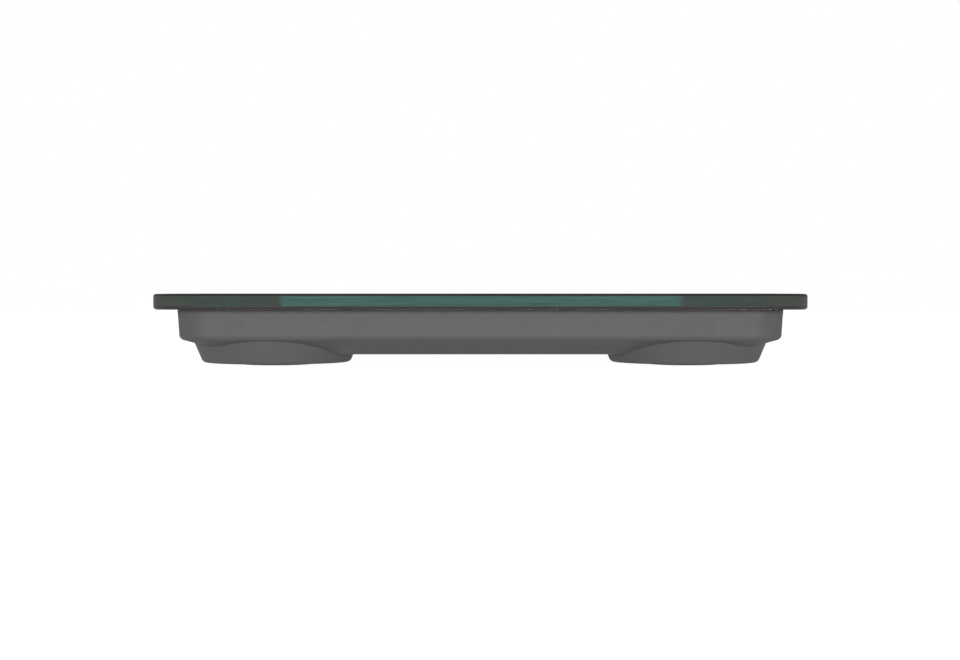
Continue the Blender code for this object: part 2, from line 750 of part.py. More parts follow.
def screw(name, x, y, seat):
    """A pan-head screw whose head sits just above this height and reaches into a post."""
    under = seat + BOND_GAP
    top = under + SCREW_HEAD_HEIGHT
    tip = under - (RETAINER_TOP - CELL_Z) - SCREW_REACH + 2 * BOND_GAP
    if seat == BOARD_TOP:
        tip = under - BOARD_THICKNESS - SCREW_REACH + 2 * BOND_GAP
    profile = [
        (0, top),
        (0.7 * SCREW_HEAD_RADIUS, top),
        (SCREW_HEAD_RADIUS, top - 0.4 * SCREW_HEAD_HEIGHT),
        (SCREW_HEAD_RADIUS, under),
        (SCREW_RADIUS, under),
        (SCREW_RADIUS, tip + SCREW_POINT),
        (0, tip),
    ]
    return turned(name, profile, x, y, ZINC, steps=12)


def load_foot(corner, signs):
    """The foot: a disc through the pod's floor, a flange that keeps it in, and a post."""
    low = FOOT_PROUD / 2
    flange_low = POD_FLOOR_Z + FIT_GAP
    flange_top = flange_low + FOOT_FLANGE_THICKNESS
    post_top = CELL_Z - FOOT_TRAVEL - BOND_GAP
    pocket = PAD_RADIUS + FIT_GAP
    pocket_top = PAD_THICKNESS + FIT_GAP
    profile = [
        (0, post_top),
        (FOOT_POST_RADIUS - FOOT_EDGE, post_top),
        (FOOT_POST_RADIUS, post_top - FOOT_EDGE),
        (FOOT_POST_RADIUS, flange_top),
        (FOOT_RADIUS + FOOT_FLANGE, flange_top),
        (FOOT_RADIUS + FOOT_FLANGE, flange_low),
        (FOOT_RADIUS, flange_low),
        (FOOT_RADIUS, low + FOOT_EDGE),
        (FOOT_RADIUS - FOOT_EDGE, low),
        (pocket, low),
        (pocket, pocket_top),
        (0, pocket_top),
    ]
    x, y = at_corner(*signs)
    return turned(f"load_foot_{corner}", profile, x, y, DARK_PLASTIC, steps=36)


def foot_pad(corner, signs):
    """The rubber pad in the foot's pocket. The scale stands on it."""
    profile = [
        (0, PAD_THICKNESS),
        (PAD_RADIUS, PAD_THICKNESS),
        (PAD_RADIUS, PAD_EDGE),
        (PAD_RADIUS - PAD_EDGE, 0),
        (0, 0),
    ]
    x, y = at_corner(*signs)
    return turned(f"foot_pad_{corner}", profile, x, y, RUBBER, steps=36)


def cell_lead(corner, signs):
    """The gauges' flat bundle of wires, laid over the retainer and on to the circuit board."""
    sign_x, sign_y = signs
    start = Vector((*at_corner(sign_x, sign_y, -1 * MM, -CELL_WINDOW / 3), 0))
    start.z = CELL_TOP + BOND_GAP + COATING[2] + FIT_GAP + LEAD_RADIUS
    over = Vector((*at_corner(sign_x, sign_y, -8 * MM, -13 * MM), 0))
    over.z = RETAINER_TOP + FIT_GAP + 2 * LEAD_RADIUS
    on_board = BOARD_TOP + FIT_GAP + LEAD_RADIUS
    on_floor = FLOOR_Z + FIT_GAP + LEAD_RADIUS
    if sign_y < 0:
        edge = BOARD_WIDTH / 2
        rest = [
            Vector((sign_x * (edge + 3 * MM), BOARD_REAR - 3 * MM, on_board + 0.2 * MM)),
            Vector((sign_x * (edge - 4 * MM), BOARD_REAR - 4 * MM, on_board)),
        ]
    else:
        past_bay = BAY_X + 4 * MM
        rest = [
            Vector((sign_x * (past_bay + 8 * MM), POD_Y - 35 * MM, on_floor)),
            Vector((sign_x * past_bay, POD_Y / 4, on_floor)),
            Vector((sign_x * past_bay, COIN_Y, on_floor)),
            Vector((sign_x * past_bay, BOARD_REAR + 9 * MM, on_floor + 1 * MM)),
            Vector((sign_x * past_bay, BOARD_REAR + 2 * MM, on_board + 0.2 * MM)),
            Vector((sign_x * past_bay, BOARD_REAR - 2.2 * MM, on_board)),
        ]
    name = f"cell_lead_{corner}"
    return tube(name, smooth_route([start, over, *rest], 3), LEAD_RADIUS, GREY_LEAD)


# ---- Circuit board, display and keys ------------------------------------------------------
def circuit_board():
    half_x, half_y = BOARD_WIDTH / 2, BOARD_DEPTH / 2
    edge = [(x, y + BOARD_Y) for x, y in rounded_outline(half_x, half_y, 1.5 * MM, 2)]
    holes = [
        circle(side * BOARD_SCREW[0], BOARD_SCREW[1], SCREW_RADIUS + FIT_GAP)
        for side in (-1, 1)
    ]
    return flat_plate("circuit_board", [edge, *holes], BOARD_Z, BOARD_THICKNESS, BOARD)


def controller_chip():
    """The blob of epoxy over the controller, on the board's lower face."""
    top = BOARD_Z - BOND_GAP
    dome = [math.radians(angle) for angle in (0, 30, 60, 90)]
    profile = [(CHIP_RADIUS * math.cos(a), top - CHIP_HEIGHT * math.sin(a)) for a in dome[:-1]]
    profile = [(0, top), *profile, (0, top - CHIP_HEIGHT)]
    return turned("controller_chip", profile, -BOARD_WIDTH / 5, BOARD_Y, EPOXY, steps=20)


def lcd_panel():
    low = (-DISPLAY_WIDTH / 2, DISPLAY_Y - DISPLAY_DEPTH / 2, DISPLAY_Z)
    high = (DISPLAY_WIDTH / 2, DISPLAY_Y + DISPLAY_DEPTH / 2, DISPLAY_TOP)
    return rounded_box("lcd_panel", low, high, 0.2 * MM, DISPLAY, segments=1)


def lcd_holder():
    """The frame between the board and the display, open over the connector strip."""
    half_x = DISPLAY_WIDTH / 2 + HOLDER_BORDER
    half_y = DISPLAY_DEPTH / 2 + HOLDER_BORDER
    outlines = [
        [(x, y + DISPLAY_Y) for x, y in rounded_outline(half_x, half_y, 1.5 * MM, 2)],
        [
            (x, y + DISPLAY_Y)
            for x, y in rounded_outline(
                half_x - 2 * HOLDER_BORDER, half_y - 2 * HOLDER_BORDER, 1 * MM, 2
            )
        ],
    ]
    height = HOLDER_TOP - HOLDER_Z
    return flat_plate("lcd_holder", outlines, HOLDER_Z, height, WHITE_PLASTIC)


def zebra_connector():
    """The striped rubber strip that joins the display's contacts to the board's."""
    half_x = DISPLAY_WIDTH / 2 - HOLDER_BORDER - 2 * FIT_GAP
    front = DISPLAY_Y - DISPLAY_DEPTH / 2 + HOLDER_BORDER + FIT_GAP
    low = (-half_x, front, HOLDER_Z)
    return box("zebra_connector", low, (half_x, front + 2 * MM, HOLDER_TOP), ELASTOMER)


def touch_spring(name, x):
    """The coil that joins a touch pad on the board to the back of the glass."""
    low = BOARD_TOP + FIT_GAP + KEY_WIRE_RADIUS
    high = GLASS_Z - FIT_GAP - KEY_WIRE_RADIUS
    per_turn = 10
    count = int(KEY_TURNS * per_turn)
    route = []
    for i in range(count + 1):
        angle = 2 * math.pi * i / per_turn
        height = low + (high - low) * i / count
        offset = Vector((math.cos(angle), math.sin(angle), 0)) * KEY_SPRING_RADIUS
        route.append(Vector((x, BOARD_Y, height)) + offset)
    return tube(name, route, KEY_WIRE_RADIUS, SPRING_STEEL, resolution=0)


def tact_switch():
    """The switch on the board's lower face, with its plunger pointing down."""
    half = SWITCH_SIDE / 2
    low = (-half, BUTTON_Y - half, SWITCH_Z)
    body = box("tact_switch", low, (half, BUTTON_Y + half, SWITCH_TOP), DARK_PLASTIC)
    bm = bmesh.new()
    middle = SWITCH_Z + SWITCH_HEIGHT / 2
    add_rod(bm, 0, BUTTON_Y, PLUNGER_Z, middle, PLUNGER_RADIUS, segments=16)
    join(body, from_bmesh("plunger_shape", bm))
    return body


def unit_button():
    """The push button in the underside, held in by its flange."""
    low = UNDERSIDE_Z - BUTTON_PROUD
    flange = FLOOR_Z + FIT_GAP
    profile = [
        (0, BUTTON_TOP),
        (BUTTON_RADIUS + BUTTON_FLANGE, BUTTON_TOP),
        (BUTTON_RADIUS + BUTTON_FLANGE, flange),
        (BUTTON_RADIUS, flange),
        (BUTTON_RADIUS, low + 0.3 * MM),
        (BUTTON_RADIUS - 0.3 * MM, low),
        (0, low + 0.1 * MM),
    ]
    return turned("unit_button", profile, 0, BUTTON_Y, DARK_PLASTIC, steps=24)


# ---- Coin cell, contacts and door ---------------------------------------------------------
def tail_place(side):
    """(x, y, width) of a contact's tail: the negative one is at -1, the positive one at +1."""
    return side * CONTACT_SPACING / 2, COIN_Y - 0.7 * COIN_RADIUS, CONTACT_WIDTH


def battery_cell():
    """A coin cell: the wide can below, the narrower lid above."""
    low, top = COIN_Z, COIN_Z + COIN_THICKNESS
    lid = COIN_RADIUS - 1.2 * MM
    profile = [
        (0, top),
        (lid, top),
        (lid, top - 0.4 * MM),
        (COIN_RADIUS, top - 0.5 * MM),
        (COIN_RADIUS, low + 0.2 * MM),
        (COIN_RADIUS - 0.2 * MM, low),
        (0, low),
    ]
    return turned("battery_cell", profile, 0, COIN_Y, STEEL, steps=32)


def battery_contact_negative():
    """A leaf over the cell's lid, with a tail up through the bay's roof."""
    x, y, width = tail_place(-1)
    over = COIN_Z + COIN_THICKNESS + FIT_GAP + CONTACT_THICKNESS / 2
    path = [(COIN_Y + 4 * MM, over), (y, over), (y, BAY_TOP + CONTACT_TAIL)]
    return bent_strip("battery_contact_negative", path, x, width, SPRING_STEEL)


def battery_contact_positive():
    """A leaf down the cell's side, with a tail up through the bay's roof."""
    x, y, width = tail_place(1)
    side = COIN_Y - math.sqrt((COIN_RADIUS + 2 * FIT_GAP) ** 2 - (x - width / 2) ** 2)
    high = COIN_Z + COIN_THICKNESS + FIT_GAP + CONTACT_THICKNESS / 2
    low = COIN_Z + COIN_THICKNESS / 6
    path = [(side, low), (side, high), (y, high), (y, BAY_TOP + CONTACT_TAIL)]
    return bent_strip("battery_contact_positive", path, x, width, SPRING_STEEL)


def battery_lead(name, side, material):
    """A wire from a contact's tail to the circuit board."""
    x, y, _ = tail_place(side)
    front = y - CONTACT_THICKNESS / 2 - FIT_GAP
    high = BAY_TOP + 2 * FIT_GAP + BATTERY_LEAD_RADIUS
    on_board = BOARD_TOP + FIT_GAP + BATTERY_LEAD_RADIUS
    route = [
        Vector((x, front, high)),
        Vector((x, front - 5 * MM, high)),
        Vector((side * 10 * MM, BOARD_REAR + 6 * MM, on_board + 0.3 * MM)),
        Vector((side * 10 * MM, BOARD_REAR - 0.4 * MM, on_board)),
    ]
    return tube(name, smooth_route(route, 3), BATTERY_LEAD_RADIUS, material)


def battery_door():
    """The door, whose rear edge is a round bead that it swings on."""
    half_x, bead = DOOR_WIDTH / 2, DOOR_THICKNESS / 2
    section = [(0.0, -bead), *arc((0, 0), bead, -90, 90, 6)[1:], (-DOOR_LENGTH, bead)]
    section += [(-DOOR_LENGTH, -bead)]
    bm = bmesh.new()
    face = bm.faces.new(bm.verts.new((-half_x, y, z)) for y, z in section)
    grown = bmesh.ops.extrude_face_region(bm, geom=[face])["geom"]
    moved = [item for item in grown if isinstance(item, bmesh.types.BMVert)]
    bmesh.ops.translate(bm, vec=(DOOR_WIDTH, 0, 0), verts=moved)
    bmesh.ops.recalc_face_normals(bm, faces=bm.faces[:])
    door = from_bmesh("battery_door", bm, HOUSING)
    door.location = (0, DOOR_AXIS_Y, DOOR_AXIS_Z)
    notch = bmesh.new()
    radius, depth = FINGER_NOTCH
    add_rod(notch, 0, -DOOR_LENGTH, -2 * bead, depth - bead, radius)
    finger = from_bmesh("finger_notch", notch)
    finger.location = door.location
    cut(door, finger)
    return door


# ---- Assembly -----------------------------------------------------------------------------
glass_platform()
bonding_tape()
base_housing()
for corner, signs in CORNERS.items():
    load_cell(corner, signs)
    gauge_coating(corner, signs)
    cell_retainer(corner, signs)
    for number, turn in (("1", -1), ("2", 1)):
        spot = at_corner(*signs, turn * SCREW_SPOT, -turn * SCREW_SPOT)
        screw(f"cell_screw_{corner}_{number}", *spot, RETAINER_TOP)
    load_foot(corner, signs)
    foot_pad(corner, signs)
    cell_lead(corner, signs)
circuit_board()
controller_chip()
lcd_panel()
lcd_holder()
zebra_connector()
touch_spring("touch_spring_left", -KEY_SPRING_X)
touch_spring("touch_spring_right", KEY_SPRING_X)
for side, word in ((-1, "left"), (1, "right")):
    screw(f"board_screw_{word}", side * BOARD_SCREW[0], BOARD_SCREW[1], BOARD_TOP)
tact_switch()
unit_button()
battery_cell()
battery_contact_negative()
battery_contact_positive()
battery_lead("battery_lead_negative", -1, BLACK_LEAD)
battery_lead("battery_lead_positive", 1, RED_LEAD)
battery_door()
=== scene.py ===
# %% [markdown]
# # A slim glass kitchen scale
# The real object is a sheet of tempered glass on a shallow moulded tray. Each corner of the tray
# bulges down into a round pod, and a foot in each pod presses on a load cell. The display and
# two touch keys lie under the front of the glass, and the underside has a small battery door.
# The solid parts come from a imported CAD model, which fixes every place and size. This lesson
# gives them their looks: finer shapes where the eye lands, and a finish for every surface.

import math

import bmesh
import bpy
from mathutils import Matrix, Vector


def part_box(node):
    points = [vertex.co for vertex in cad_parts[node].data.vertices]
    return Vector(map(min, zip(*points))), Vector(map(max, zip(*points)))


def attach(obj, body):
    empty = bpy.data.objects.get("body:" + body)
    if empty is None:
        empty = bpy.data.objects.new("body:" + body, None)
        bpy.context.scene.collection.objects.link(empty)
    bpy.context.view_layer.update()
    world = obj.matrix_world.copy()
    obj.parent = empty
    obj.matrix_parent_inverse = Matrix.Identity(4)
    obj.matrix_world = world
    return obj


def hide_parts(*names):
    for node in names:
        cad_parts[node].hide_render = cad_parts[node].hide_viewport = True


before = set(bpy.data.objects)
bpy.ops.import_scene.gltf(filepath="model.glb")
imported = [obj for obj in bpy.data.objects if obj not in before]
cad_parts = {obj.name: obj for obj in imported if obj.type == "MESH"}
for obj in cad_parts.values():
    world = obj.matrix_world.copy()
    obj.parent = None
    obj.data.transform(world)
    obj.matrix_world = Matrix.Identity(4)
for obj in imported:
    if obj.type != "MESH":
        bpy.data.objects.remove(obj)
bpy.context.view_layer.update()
MM = 0.001

# %% [markdown]
# ## Camera
# The scale is seen from its front edge, almost level with the tabletop, so the glass is only a
# line and the tray's pods show. A camera this low could be far away with a long lens, but then
# the front corner pods would not hide the back ones so well. A camera 350 mm from the glass,
# with the eye just under its top face, gives the right mild perspective.

# %% Place the camera
glass_low, glass_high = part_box("glass_platform")
EYE_DISTANCE = 350 * MM
EYE_HEIGHT = 16 * MM
EYE_SIDE = -0.11 * MM
LOOK_DOWN = math.radians(1.02)
LENS = 52.43
camera_data = bpy.data.cameras.new("front_camera")
camera_data.lens = LENS
camera_data.clip_start = 10 * MM
camera = bpy.data.objects.new("front_camera", camera_data)
camera.location = (EYE_SIDE, glass_low.y - EYE_DISTANCE, EYE_HEIGHT)
camera.rotation_euler = (math.pi / 2 - LOOK_DOWN, 0, 0)
bpy.context.scene.collection.objects.link(camera)
bpy.context.scene.camera = camera
print("camera at", [round(c, 4) for c in camera.location])

# %% [markdown]
# ## Tools for finishes
# A finish is a Principled shader whose colour, roughness and bump wander a little, as on real
# materials. Image textures could do it, but noise needs no files and never shows a seam. All
# the patterns read Object coordinates, in metres, so a noise with lumps `spacing` apart has a
# scale of one over that spacing. Numbers that are the same all over stay on the shader itself.


# %% Helpers that lay out shader nodes
NOISE_RANGE = (0.3, 0.7)


def finish(name, colour, roughness, **sockets):
    """A new Principled material; the keyword sockets are written with underscores."""
    material = bpy.data.materials.new(name)
    material.use_nodes = True
    shader = material.node_tree.nodes["Principled BSDF"]
    shader.inputs["Base Color"].default_value = (*colour, 1)
    shader.inputs["Roughness"].default_value = roughness
    for socket, value in sockets.items():
        shader.inputs[socket.replace("_", " ")].default_value = value
    return material


def principled(material):
    return material.node_tree.nodes["Principled BSDF"]


def add_node(material, kind, links=None, **values):
    """A shader node, with sockets set from values or joined to other nodes' outputs."""
    node = material.node_tree.nodes.new("ShaderNode" + kind)
    for name, value in values.items():
        setattr(node, name, value)
    for socket, source in (links or {}).items():
        if isinstance(source, bpy.types.NodeSocket):
            material.node_tree.links.new(source, node.inputs[socket])
        else:
            node.inputs[socket].default_value = source
    return node


def noise(material, spacing, detail=2.0, stretch=(1, 1, 1)):
    """Noise with lumps this far apart, in metres; stretch makes them longer along an axis."""
    place = add_node(material, "TexCoord").outputs["Object"]
    if tuple(stretch) != (1, 1, 1):
        scale = [1 / s for s in stretch]
        place = add_node(material, "Mapping", {"Vector": place, "Scale": scale}).outputs[0]
    links = {"Vector": place, "Scale": 1 / spacing, "Detail": detail}
    return add_node(material, "TexNoise", links).outputs[0]


def between(material, factor, low, high):
    """A number that goes from low to high as a noise goes from its usual low to its high."""
    start, end = NOISE_RANGE
    links = {"Value": factor, "From Min": start, "From Max": end, "To Min": low, "To Max": high}
    return add_node(material, "MapRange", links).outputs[0]


def mixed(material, factor, first, second):
    """A colour between two colours."""
    first = first if isinstance(first, bpy.types.NodeSocket) else (*first, 1)
    second = second if isinstance(second, bpy.types.NodeSocket) else (*second, 1)
    links = {"Factor": factor, 6: first, 7: second}
    return add_node(material, "Mix", links, data_type="RGBA").outputs[2]


def feed(material, socket, source):
    material.node_tree.links.new(source, principled(material).inputs[socket])


def uneven_colour(material, spacing, dark, light, detail=2.0, stretch=(1, 1, 1)):
    factor = between(material, noise(material, spacing, detail, stretch), 0, 1)
    feed(material, "Base Color", mixed(material, factor, dark, light))


def uneven_roughness(material, spacing, low, high, stretch=(1, 1, 1)):
    wander = noise(material, spacing, 3, stretch)
    feed(material, "Roughness", between(material, wander, low, high))


def bumpy(material, height, depth, under=None):
    """Bump from a height; under is an earlier bump that this one lies on."""
    links = {"Height": height, "Distance": depth}
    if under is not None:
        links["Normal"] = under
    bump = add_node(material, "Bump", links).outputs[0]
    feed(material, "Normal", bump)
    return bump


print("finish helpers ready")

# %% [markdown]
# ## Tools for shapes
# Every new piece is a bmesh: it starts from one of Blender's create operators, is shaped with
# bevels, extrusions and spins, and becomes an object whose origin is the scene's origin. The
# same few steps end every piece, so they are one helper: smooth shading that keeps the sharp
# edges, a Weighted Normal modifier so that flat faces stay flat between rounded edges, a parent
# empty for the body that carries the piece, and hiding the CAD solids that it stands for.


# %% Helper that finishes a piece
def make_piece(bm, name, body, materials, replaced=(), angle=30):
    """The finished bmesh as a piece that rides on a body and stands for CAD nodes."""
    mesh = bpy.data.meshes.new(name)
    bm.to_mesh(mesh)
    bm.free()
    for material in materials:
        mesh.materials.append(material)
    mesh.shade_smooth()
    mesh.set_sharp_from_angle(angle=math.radians(angle))
    piece = bpy.data.objects.new(name, mesh)
    bpy.context.scene.collection.objects.link(piece)
    weighted = piece.modifiers.new("flat_faces_stay_flat", "WEIGHTED_NORMAL")
    weighted.keep_sharp = True
    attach(piece, body)
    if replaced:
        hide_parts(*replaced)
    return piece


# %% [markdown]
# The shapes themselves are few. Blocks and rods come from create operators, edges are picked by
# where they lie and then bevelled, a turned part is half a section spun round its axis, and one
# shape is cut from another, or joined to it, by an exact boolean.

# %% Helpers that shape a piece
TOLERANCE = 0.01 * MM
MERGE_DISTANCE = 0.0001 * MM


def add_block(bm, low, high):
    """A box between two corners."""
    low, high = Vector(low), Vector(high)
    place = Matrix.Translation((low + high) / 2) @ Matrix.Diagonal((*(high - low), 1))
    return bmesh.ops.create_cube(bm, size=1, matrix=place)["verts"]


def add_rod(bm, x, y, low, high, radius, top_radius=None, segments=32):
    """An upright cylinder, or a cone if its top radius differs."""
    top_radius = radius if top_radius is None else top_radius
    place = Matrix.Translation((x, y, (low + high) / 2))
    sizes = {"radius1": radius, "radius2": top_radius, "depth": high - low}
    cone = bmesh.ops.create_cone(bm, cap_ends=True, segments=segments, matrix=place, **sizes)
    return cone["verts"]


def edges_of(verts, test):
    """The edges among these vertices whose two ends both pass a test."""
    chosen = {v for v in verts if test(v.co)}
    return [e for v in chosen for e in v.link_edges if e.other_vert(v) in chosen]


def edges_at(verts, height):
    """The edges among these vertices that lie level at a height."""
    return edges_of(verts, lambda place: abs(place.z - height) < TOLERANCE)


def ring_edges(bm, x, y, radius, height):
    """The edges of one ring of a spun shape."""

    def on_ring(place):
        reach = math.hypot(place.x - x, place.y - y)
        return abs(reach - radius) < TOLERANCE and abs(place.z - height) < TOLERANCE

    return edges_of(bm.verts, on_ring)


def is_upright(edge):
    start, end = edge.verts
    return abs(start.co.z - end.co.z) > 0.9 * (start.co - end.co).length


def round_edges(bm, edges, radius, segments=4):
    """Round edges with a bevel of a few segments."""
    bmesh.ops.bevel(
        bm, geom=list(set(edges)), offset=radius, offset_type="OFFSET", segments=segments,
        profile=0.5, affect="EDGES", clamp_overlap=True, material=-1,
    )


def spin_profile(bm, profile, x, y, steps=64, closed=False):
    """Spin (radius, height) points all the way round: from axis to axis, or a closed loop."""
    start = len(bm.verts)
    points = [bm.verts.new((x + radius, y, height)) for radius, height in profile]
    ends = zip([points[-1], *points], points) if closed else zip(points, points[1:])
    edges = [bm.edges.new(pair) for pair in ends]
    bmesh.ops.spin(
        bm, geom=points + edges, cent=(x, y, 0), axis=(0, 0, 1), angle=2 * math.pi,
        steps=steps, use_merge=True,
    )
    made = list(bm.verts)[start:]
    bmesh.ops.remove_doubles(bm, verts=made, dist=MERGE_DISTANCE)
    bmesh.ops.recalc_face_normals(bm, faces=bm.faces)


def carve(bm, cutter, operation="DIFFERENCE"):
    """The bmesh with another one cut from it or joined to it, exactly."""
    shapes = []
    for source in (bm, cutter):
        mesh = bpy.data.meshes.new("carving")
        source.to_mesh(mesh)
        source.free()
        shapes.append(bpy.data.objects.new("carving", mesh))
        bpy.context.scene.collection.objects.link(shapes[-1])
    modifier = shapes[0].modifiers.new("carving", "BOOLEAN")
    modifier.operation = operation
    modifier.solver = "EXACT"
    modifier.object = shapes[1]
    bpy.context.view_layer.update()
    graph = bpy.context.evaluated_depsgraph_get()
    carved = bpy.data.meshes.new_from_object(shapes[0].evaluated_get(graph))
    result = bmesh.new()
    result.from_mesh(carved)
    for shape in shapes:
        mesh = shape.data
        bpy.data.objects.remove(shape)
        bpy.data.meshes.remove(mesh)
    bpy.data.meshes.remove(carved)
    return result


def middle(node):
    low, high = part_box(node)
    return (low + high) / 2


CORNERS = ("front_left", "front_right", "rear_left", "rear_right")
for corner in CORNERS:
    print(corner, "pod axis (mm):", [round(v / MM, 1) for v in middle("load_foot_" + corner).xy])

# %% [markdown]
# ## Studio
# The scale stands on a plain white table against a plain white background. Most of the light
# comes level from a broad softbox on the camera's side: it reaches the wall right up to the
# glass, and leaves the slope below, which faces the table, darker. World and table are white to
# the eye but light the scene less, as when white paper stands far behind the subject: if they
# were as bright from every side, nothing would model the shape.

# %% World
WORLD_LIGHT = 0.25
scene = bpy.context.scene
scene.view_settings.view_transform = "Standard"
world = bpy.data.worlds.new("white_studio")
scene.world = world
world.use_nodes = True
backdrop = world.node_tree.nodes["Background"]
backdrop.inputs["Color"].default_value = (1, 1, 1, 1)


def lit_and_seen(tree, target, lighting, seen):
    """A strength with one value where it lights the scene, and another where the eye sees it."""
    rays = tree.nodes.new("ShaderNodeLightPath")
    strength = tree.nodes.new("ShaderNodeMapRange")
    strength.inputs["To Min"].default_value = lighting
    strength.inputs["To Max"].default_value = seen
    tree.links.new(rays.outputs["Is Camera Ray"], strength.inputs["Value"])
    tree.links.new(strength.outputs[0], target)


lit_and_seen(world.node_tree, backdrop.inputs["Strength"], WORLD_LIGHT, 1.0)
print("world lights at", WORLD_LIGHT)

# %% [markdown]
# The table gives off part of its light itself, so that it stays white right under the scale.
# Seen from below it is clear, so that the underside of the scale can be looked at too.

# %% Table
TABLE_HALF = 4
TABLE_GREYS = (0.29, 0.30, 0.31)
TABLE_LIGHT = 0.39
TABLE_SEEN = 0.97
bm = bmesh.new()
bmesh.ops.create_grid(bm, x_segments=1, y_segments=1, size=TABLE_HALF)
table_mesh = bpy.data.meshes.new("table")
bm.to_mesh(table_mesh)
bm.free()
table = bpy.data.objects.new("table", table_mesh)
scene.collection.objects.link(table)
dark, grey, light = ((share,) * 3 for share in TABLE_GREYS)
table_paint = finish("white_table", grey, 0.6, Specular_IOR_Level=0.0)
principled(table_paint).inputs["Emission Color"].default_value = (1, 1, 1, 1)
glow = principled(table_paint).inputs["Emission Strength"]
lit_and_seen(table_paint.node_tree, glow, TABLE_LIGHT, TABLE_SEEN)
uneven_colour(table_paint, 400 * MM, dark, light)
clear = add_node(table_paint, "BsdfTransparent").outputs[0]
below = add_node(table_paint, "NewGeometry").outputs["Backfacing"]
links = {0: below, 1: principled(table_paint).outputs[0], 2: clear}
one_sided = add_node(table_paint, "MixShader", links).outputs[0]
table_output = table_paint.node_tree.nodes["Material Output"].inputs["Surface"]
table_paint.node_tree.links.new(one_sided, table_output)
table_mesh.materials.append(table_paint)
print("table", 2 * TABLE_HALF, "m across")

# %% [markdown]
# The light that shapes the front comes level from a broad softbox on the camera's side. A high
# one behind the scale gives the flat glass something to mirror from above. Three weaker ones
# light the rear and the sides, and are left out of reflections.

# %% Softboxes
SOFTBOX_SIZE = (1.6, 0.26)
SOFTBOX_DISTANCE = 1.35
SOFTBOX_HEIGHT = 0.14
FRONT_POWER = 12.5
HIGH_SIZE = (2.6, 1.8)
HIGH_PLACE = Vector((-0.5, 1.1, 1.5))
HIGH_POWER = 7
FRONT_AIM = Vector((0, glass_low.y, 10 * MM))
FILL_AIM = 100 * MM
FILL_POWERS = {"rear": (0, 1, 11), "left": (-1, 0, 3), "right": (1, 0, 3)}


def add_softbox(name, place, size, power, target):
    """A rectangular light that faces a target on the scale."""
    light = bpy.data.lights.new(name, "AREA")
    light.shape = "RECTANGLE"
    light.size, light.size_y = size
    light.energy = power
    softbox = bpy.data.objects.new(name, light)
    softbox.location = place
    aim = target - place
    softbox.rotation_euler = aim.to_track_quat("-Z", "Y").to_euler()
    scene.collection.objects.link(softbox)
    return softbox


place = Vector((0, -SOFTBOX_DISTANCE, SOFTBOX_HEIGHT))
add_softbox("front_softbox", place, SOFTBOX_SIZE, FRONT_POWER, FRONT_AIM)
add_softbox("high_softbox", HIGH_PLACE, HIGH_SIZE, HIGH_POWER, FRONT_AIM)
for name, (x, y, power) in FILL_POWERS.items():
    side = Vector((x, y, 0))
    place = side * SOFTBOX_DISTANCE + Vector((0, 0, SOFTBOX_HEIGHT))
    fill = add_softbox(f"{name}_softbox", place, SOFTBOX_SIZE, power, side * FILL_AIM)
    fill.visible_glossy = False
print(2 + len(FILL_POWERS), "softboxes")

# %% [markdown]
# ## Glass
# Float glass is almost clear across its thickness and green along its length. So the flat faces
# get a see-through finish with a faint green absorption, and the ground edge gets an opaque one
# with the light in the glass painted into its colour: the light that crosses the whole sheet is
# a painted streaky teal band in the middle of each edge, and where it is lost near the corners,
# painted shade turns the edge olive grey. The arrises get painted shade. The pattern reads how
# far along an edge a point lies, by its place in the sheet, so all four sides match and nothing
# depends on where the camera stands.

# %% Glass finishes
GLASS_TINT = (0.42, 0.78, 0.66)
GLASS_DENSITY = 14
clear_glass = finish("clear_float_glass", (1, 1, 1), 0.02, IOR=1.52, Transmission_Weight=1.0)
uneven_roughness(clear_glass, 22 * MM, 0.005, 0.035)
uneven_colour(clear_glass, 60 * MM, (0.965, 0.99, 0.98), (0.98, 1.0, 0.99))
tint = {"Color": (*GLASS_TINT, 1), "Density": GLASS_DENSITY}
absorb = add_node(clear_glass, "VolumeAbsorption", tint).outputs[0]
glass_output = clear_glass.node_tree.nodes["Material Output"].inputs["Volume"]
clear_glass.node_tree.links.new(absorb, glass_output)
print("clear glass with a density of", GLASS_DENSITY)

# %% [markdown]
# The ground edge's painted tones change from the lower arris, where the back print seen through
# the glass and painted shade make it dark, to the painted band of light and to painted shade
# again at the upper arris. The heights where they change are given as a start and an end, so each
# change is as soft as it looks.

# %% Finish of the ground edge
half_sheet = (glass_high - glass_low) / 2
# Painted light: the teal band is light that has crossed the whole sheet; the olive and the corner
# grey are painted shade where that light is lost.
EDGE_TEAL_PAINTED_LIGHT = ((0.022, 0.080, 0.068), (0.036, 0.120, 0.098))
EDGE_OLIVE_PAINTED_SHADE = ((0.028, 0.038, 0.029), (0.019, 0.050, 0.041))
EDGE_CORNER_PAINTED_SHADE = (0.062, 0.074, 0.060)
# Painted shade of the upper arris; the lower band is the back print seen through the glass, with
# painted shade of the lower arris.
EDGE_DARK_PAINTED_SHADE = (0.038, 0.029, 0.025)
EDGE_FOOT_PRINT_AND_SHADE = (0.048, 0.046, 0.045)
BRIGHT_SHARE = 0.585
BRIGHT_BLUR = 0.012
CORNER_SHARE = 0.86
CORNER_BLUR = 0.04
FOOT_BAND = (0.80 * MM, 1.00 * MM)
TOP_BAND = (0.72 * MM, 0.55 * MM)


def calculate(material, operation, *numbers):
    return add_node(material, "Math", dict(enumerate(numbers)), operation=operation).outputs[0]


def share_of_side(material, axis):
    """How far a point is from the sheet's middle along an axis, from 0 to 1 at the edge."""
    place = add_node(material, "TexCoord").outputs["Object"]
    parts = add_node(material, "SeparateXYZ", {"Vector": place}).outputs
    size = calculate(material, "ABSOLUTE", parts[axis])
    return calculate(material, "MULTIPLY", size, 1 / half_sheet[axis])


def step_up(material, value, low, high):
    links = {"Value": value, "From Min": low, "From Max": high, "To Min": 0.0, "To Max": 1.0}
    return add_node(material, "MapRange", links, interpolation_type="SMOOTHSTEP").outputs[0]


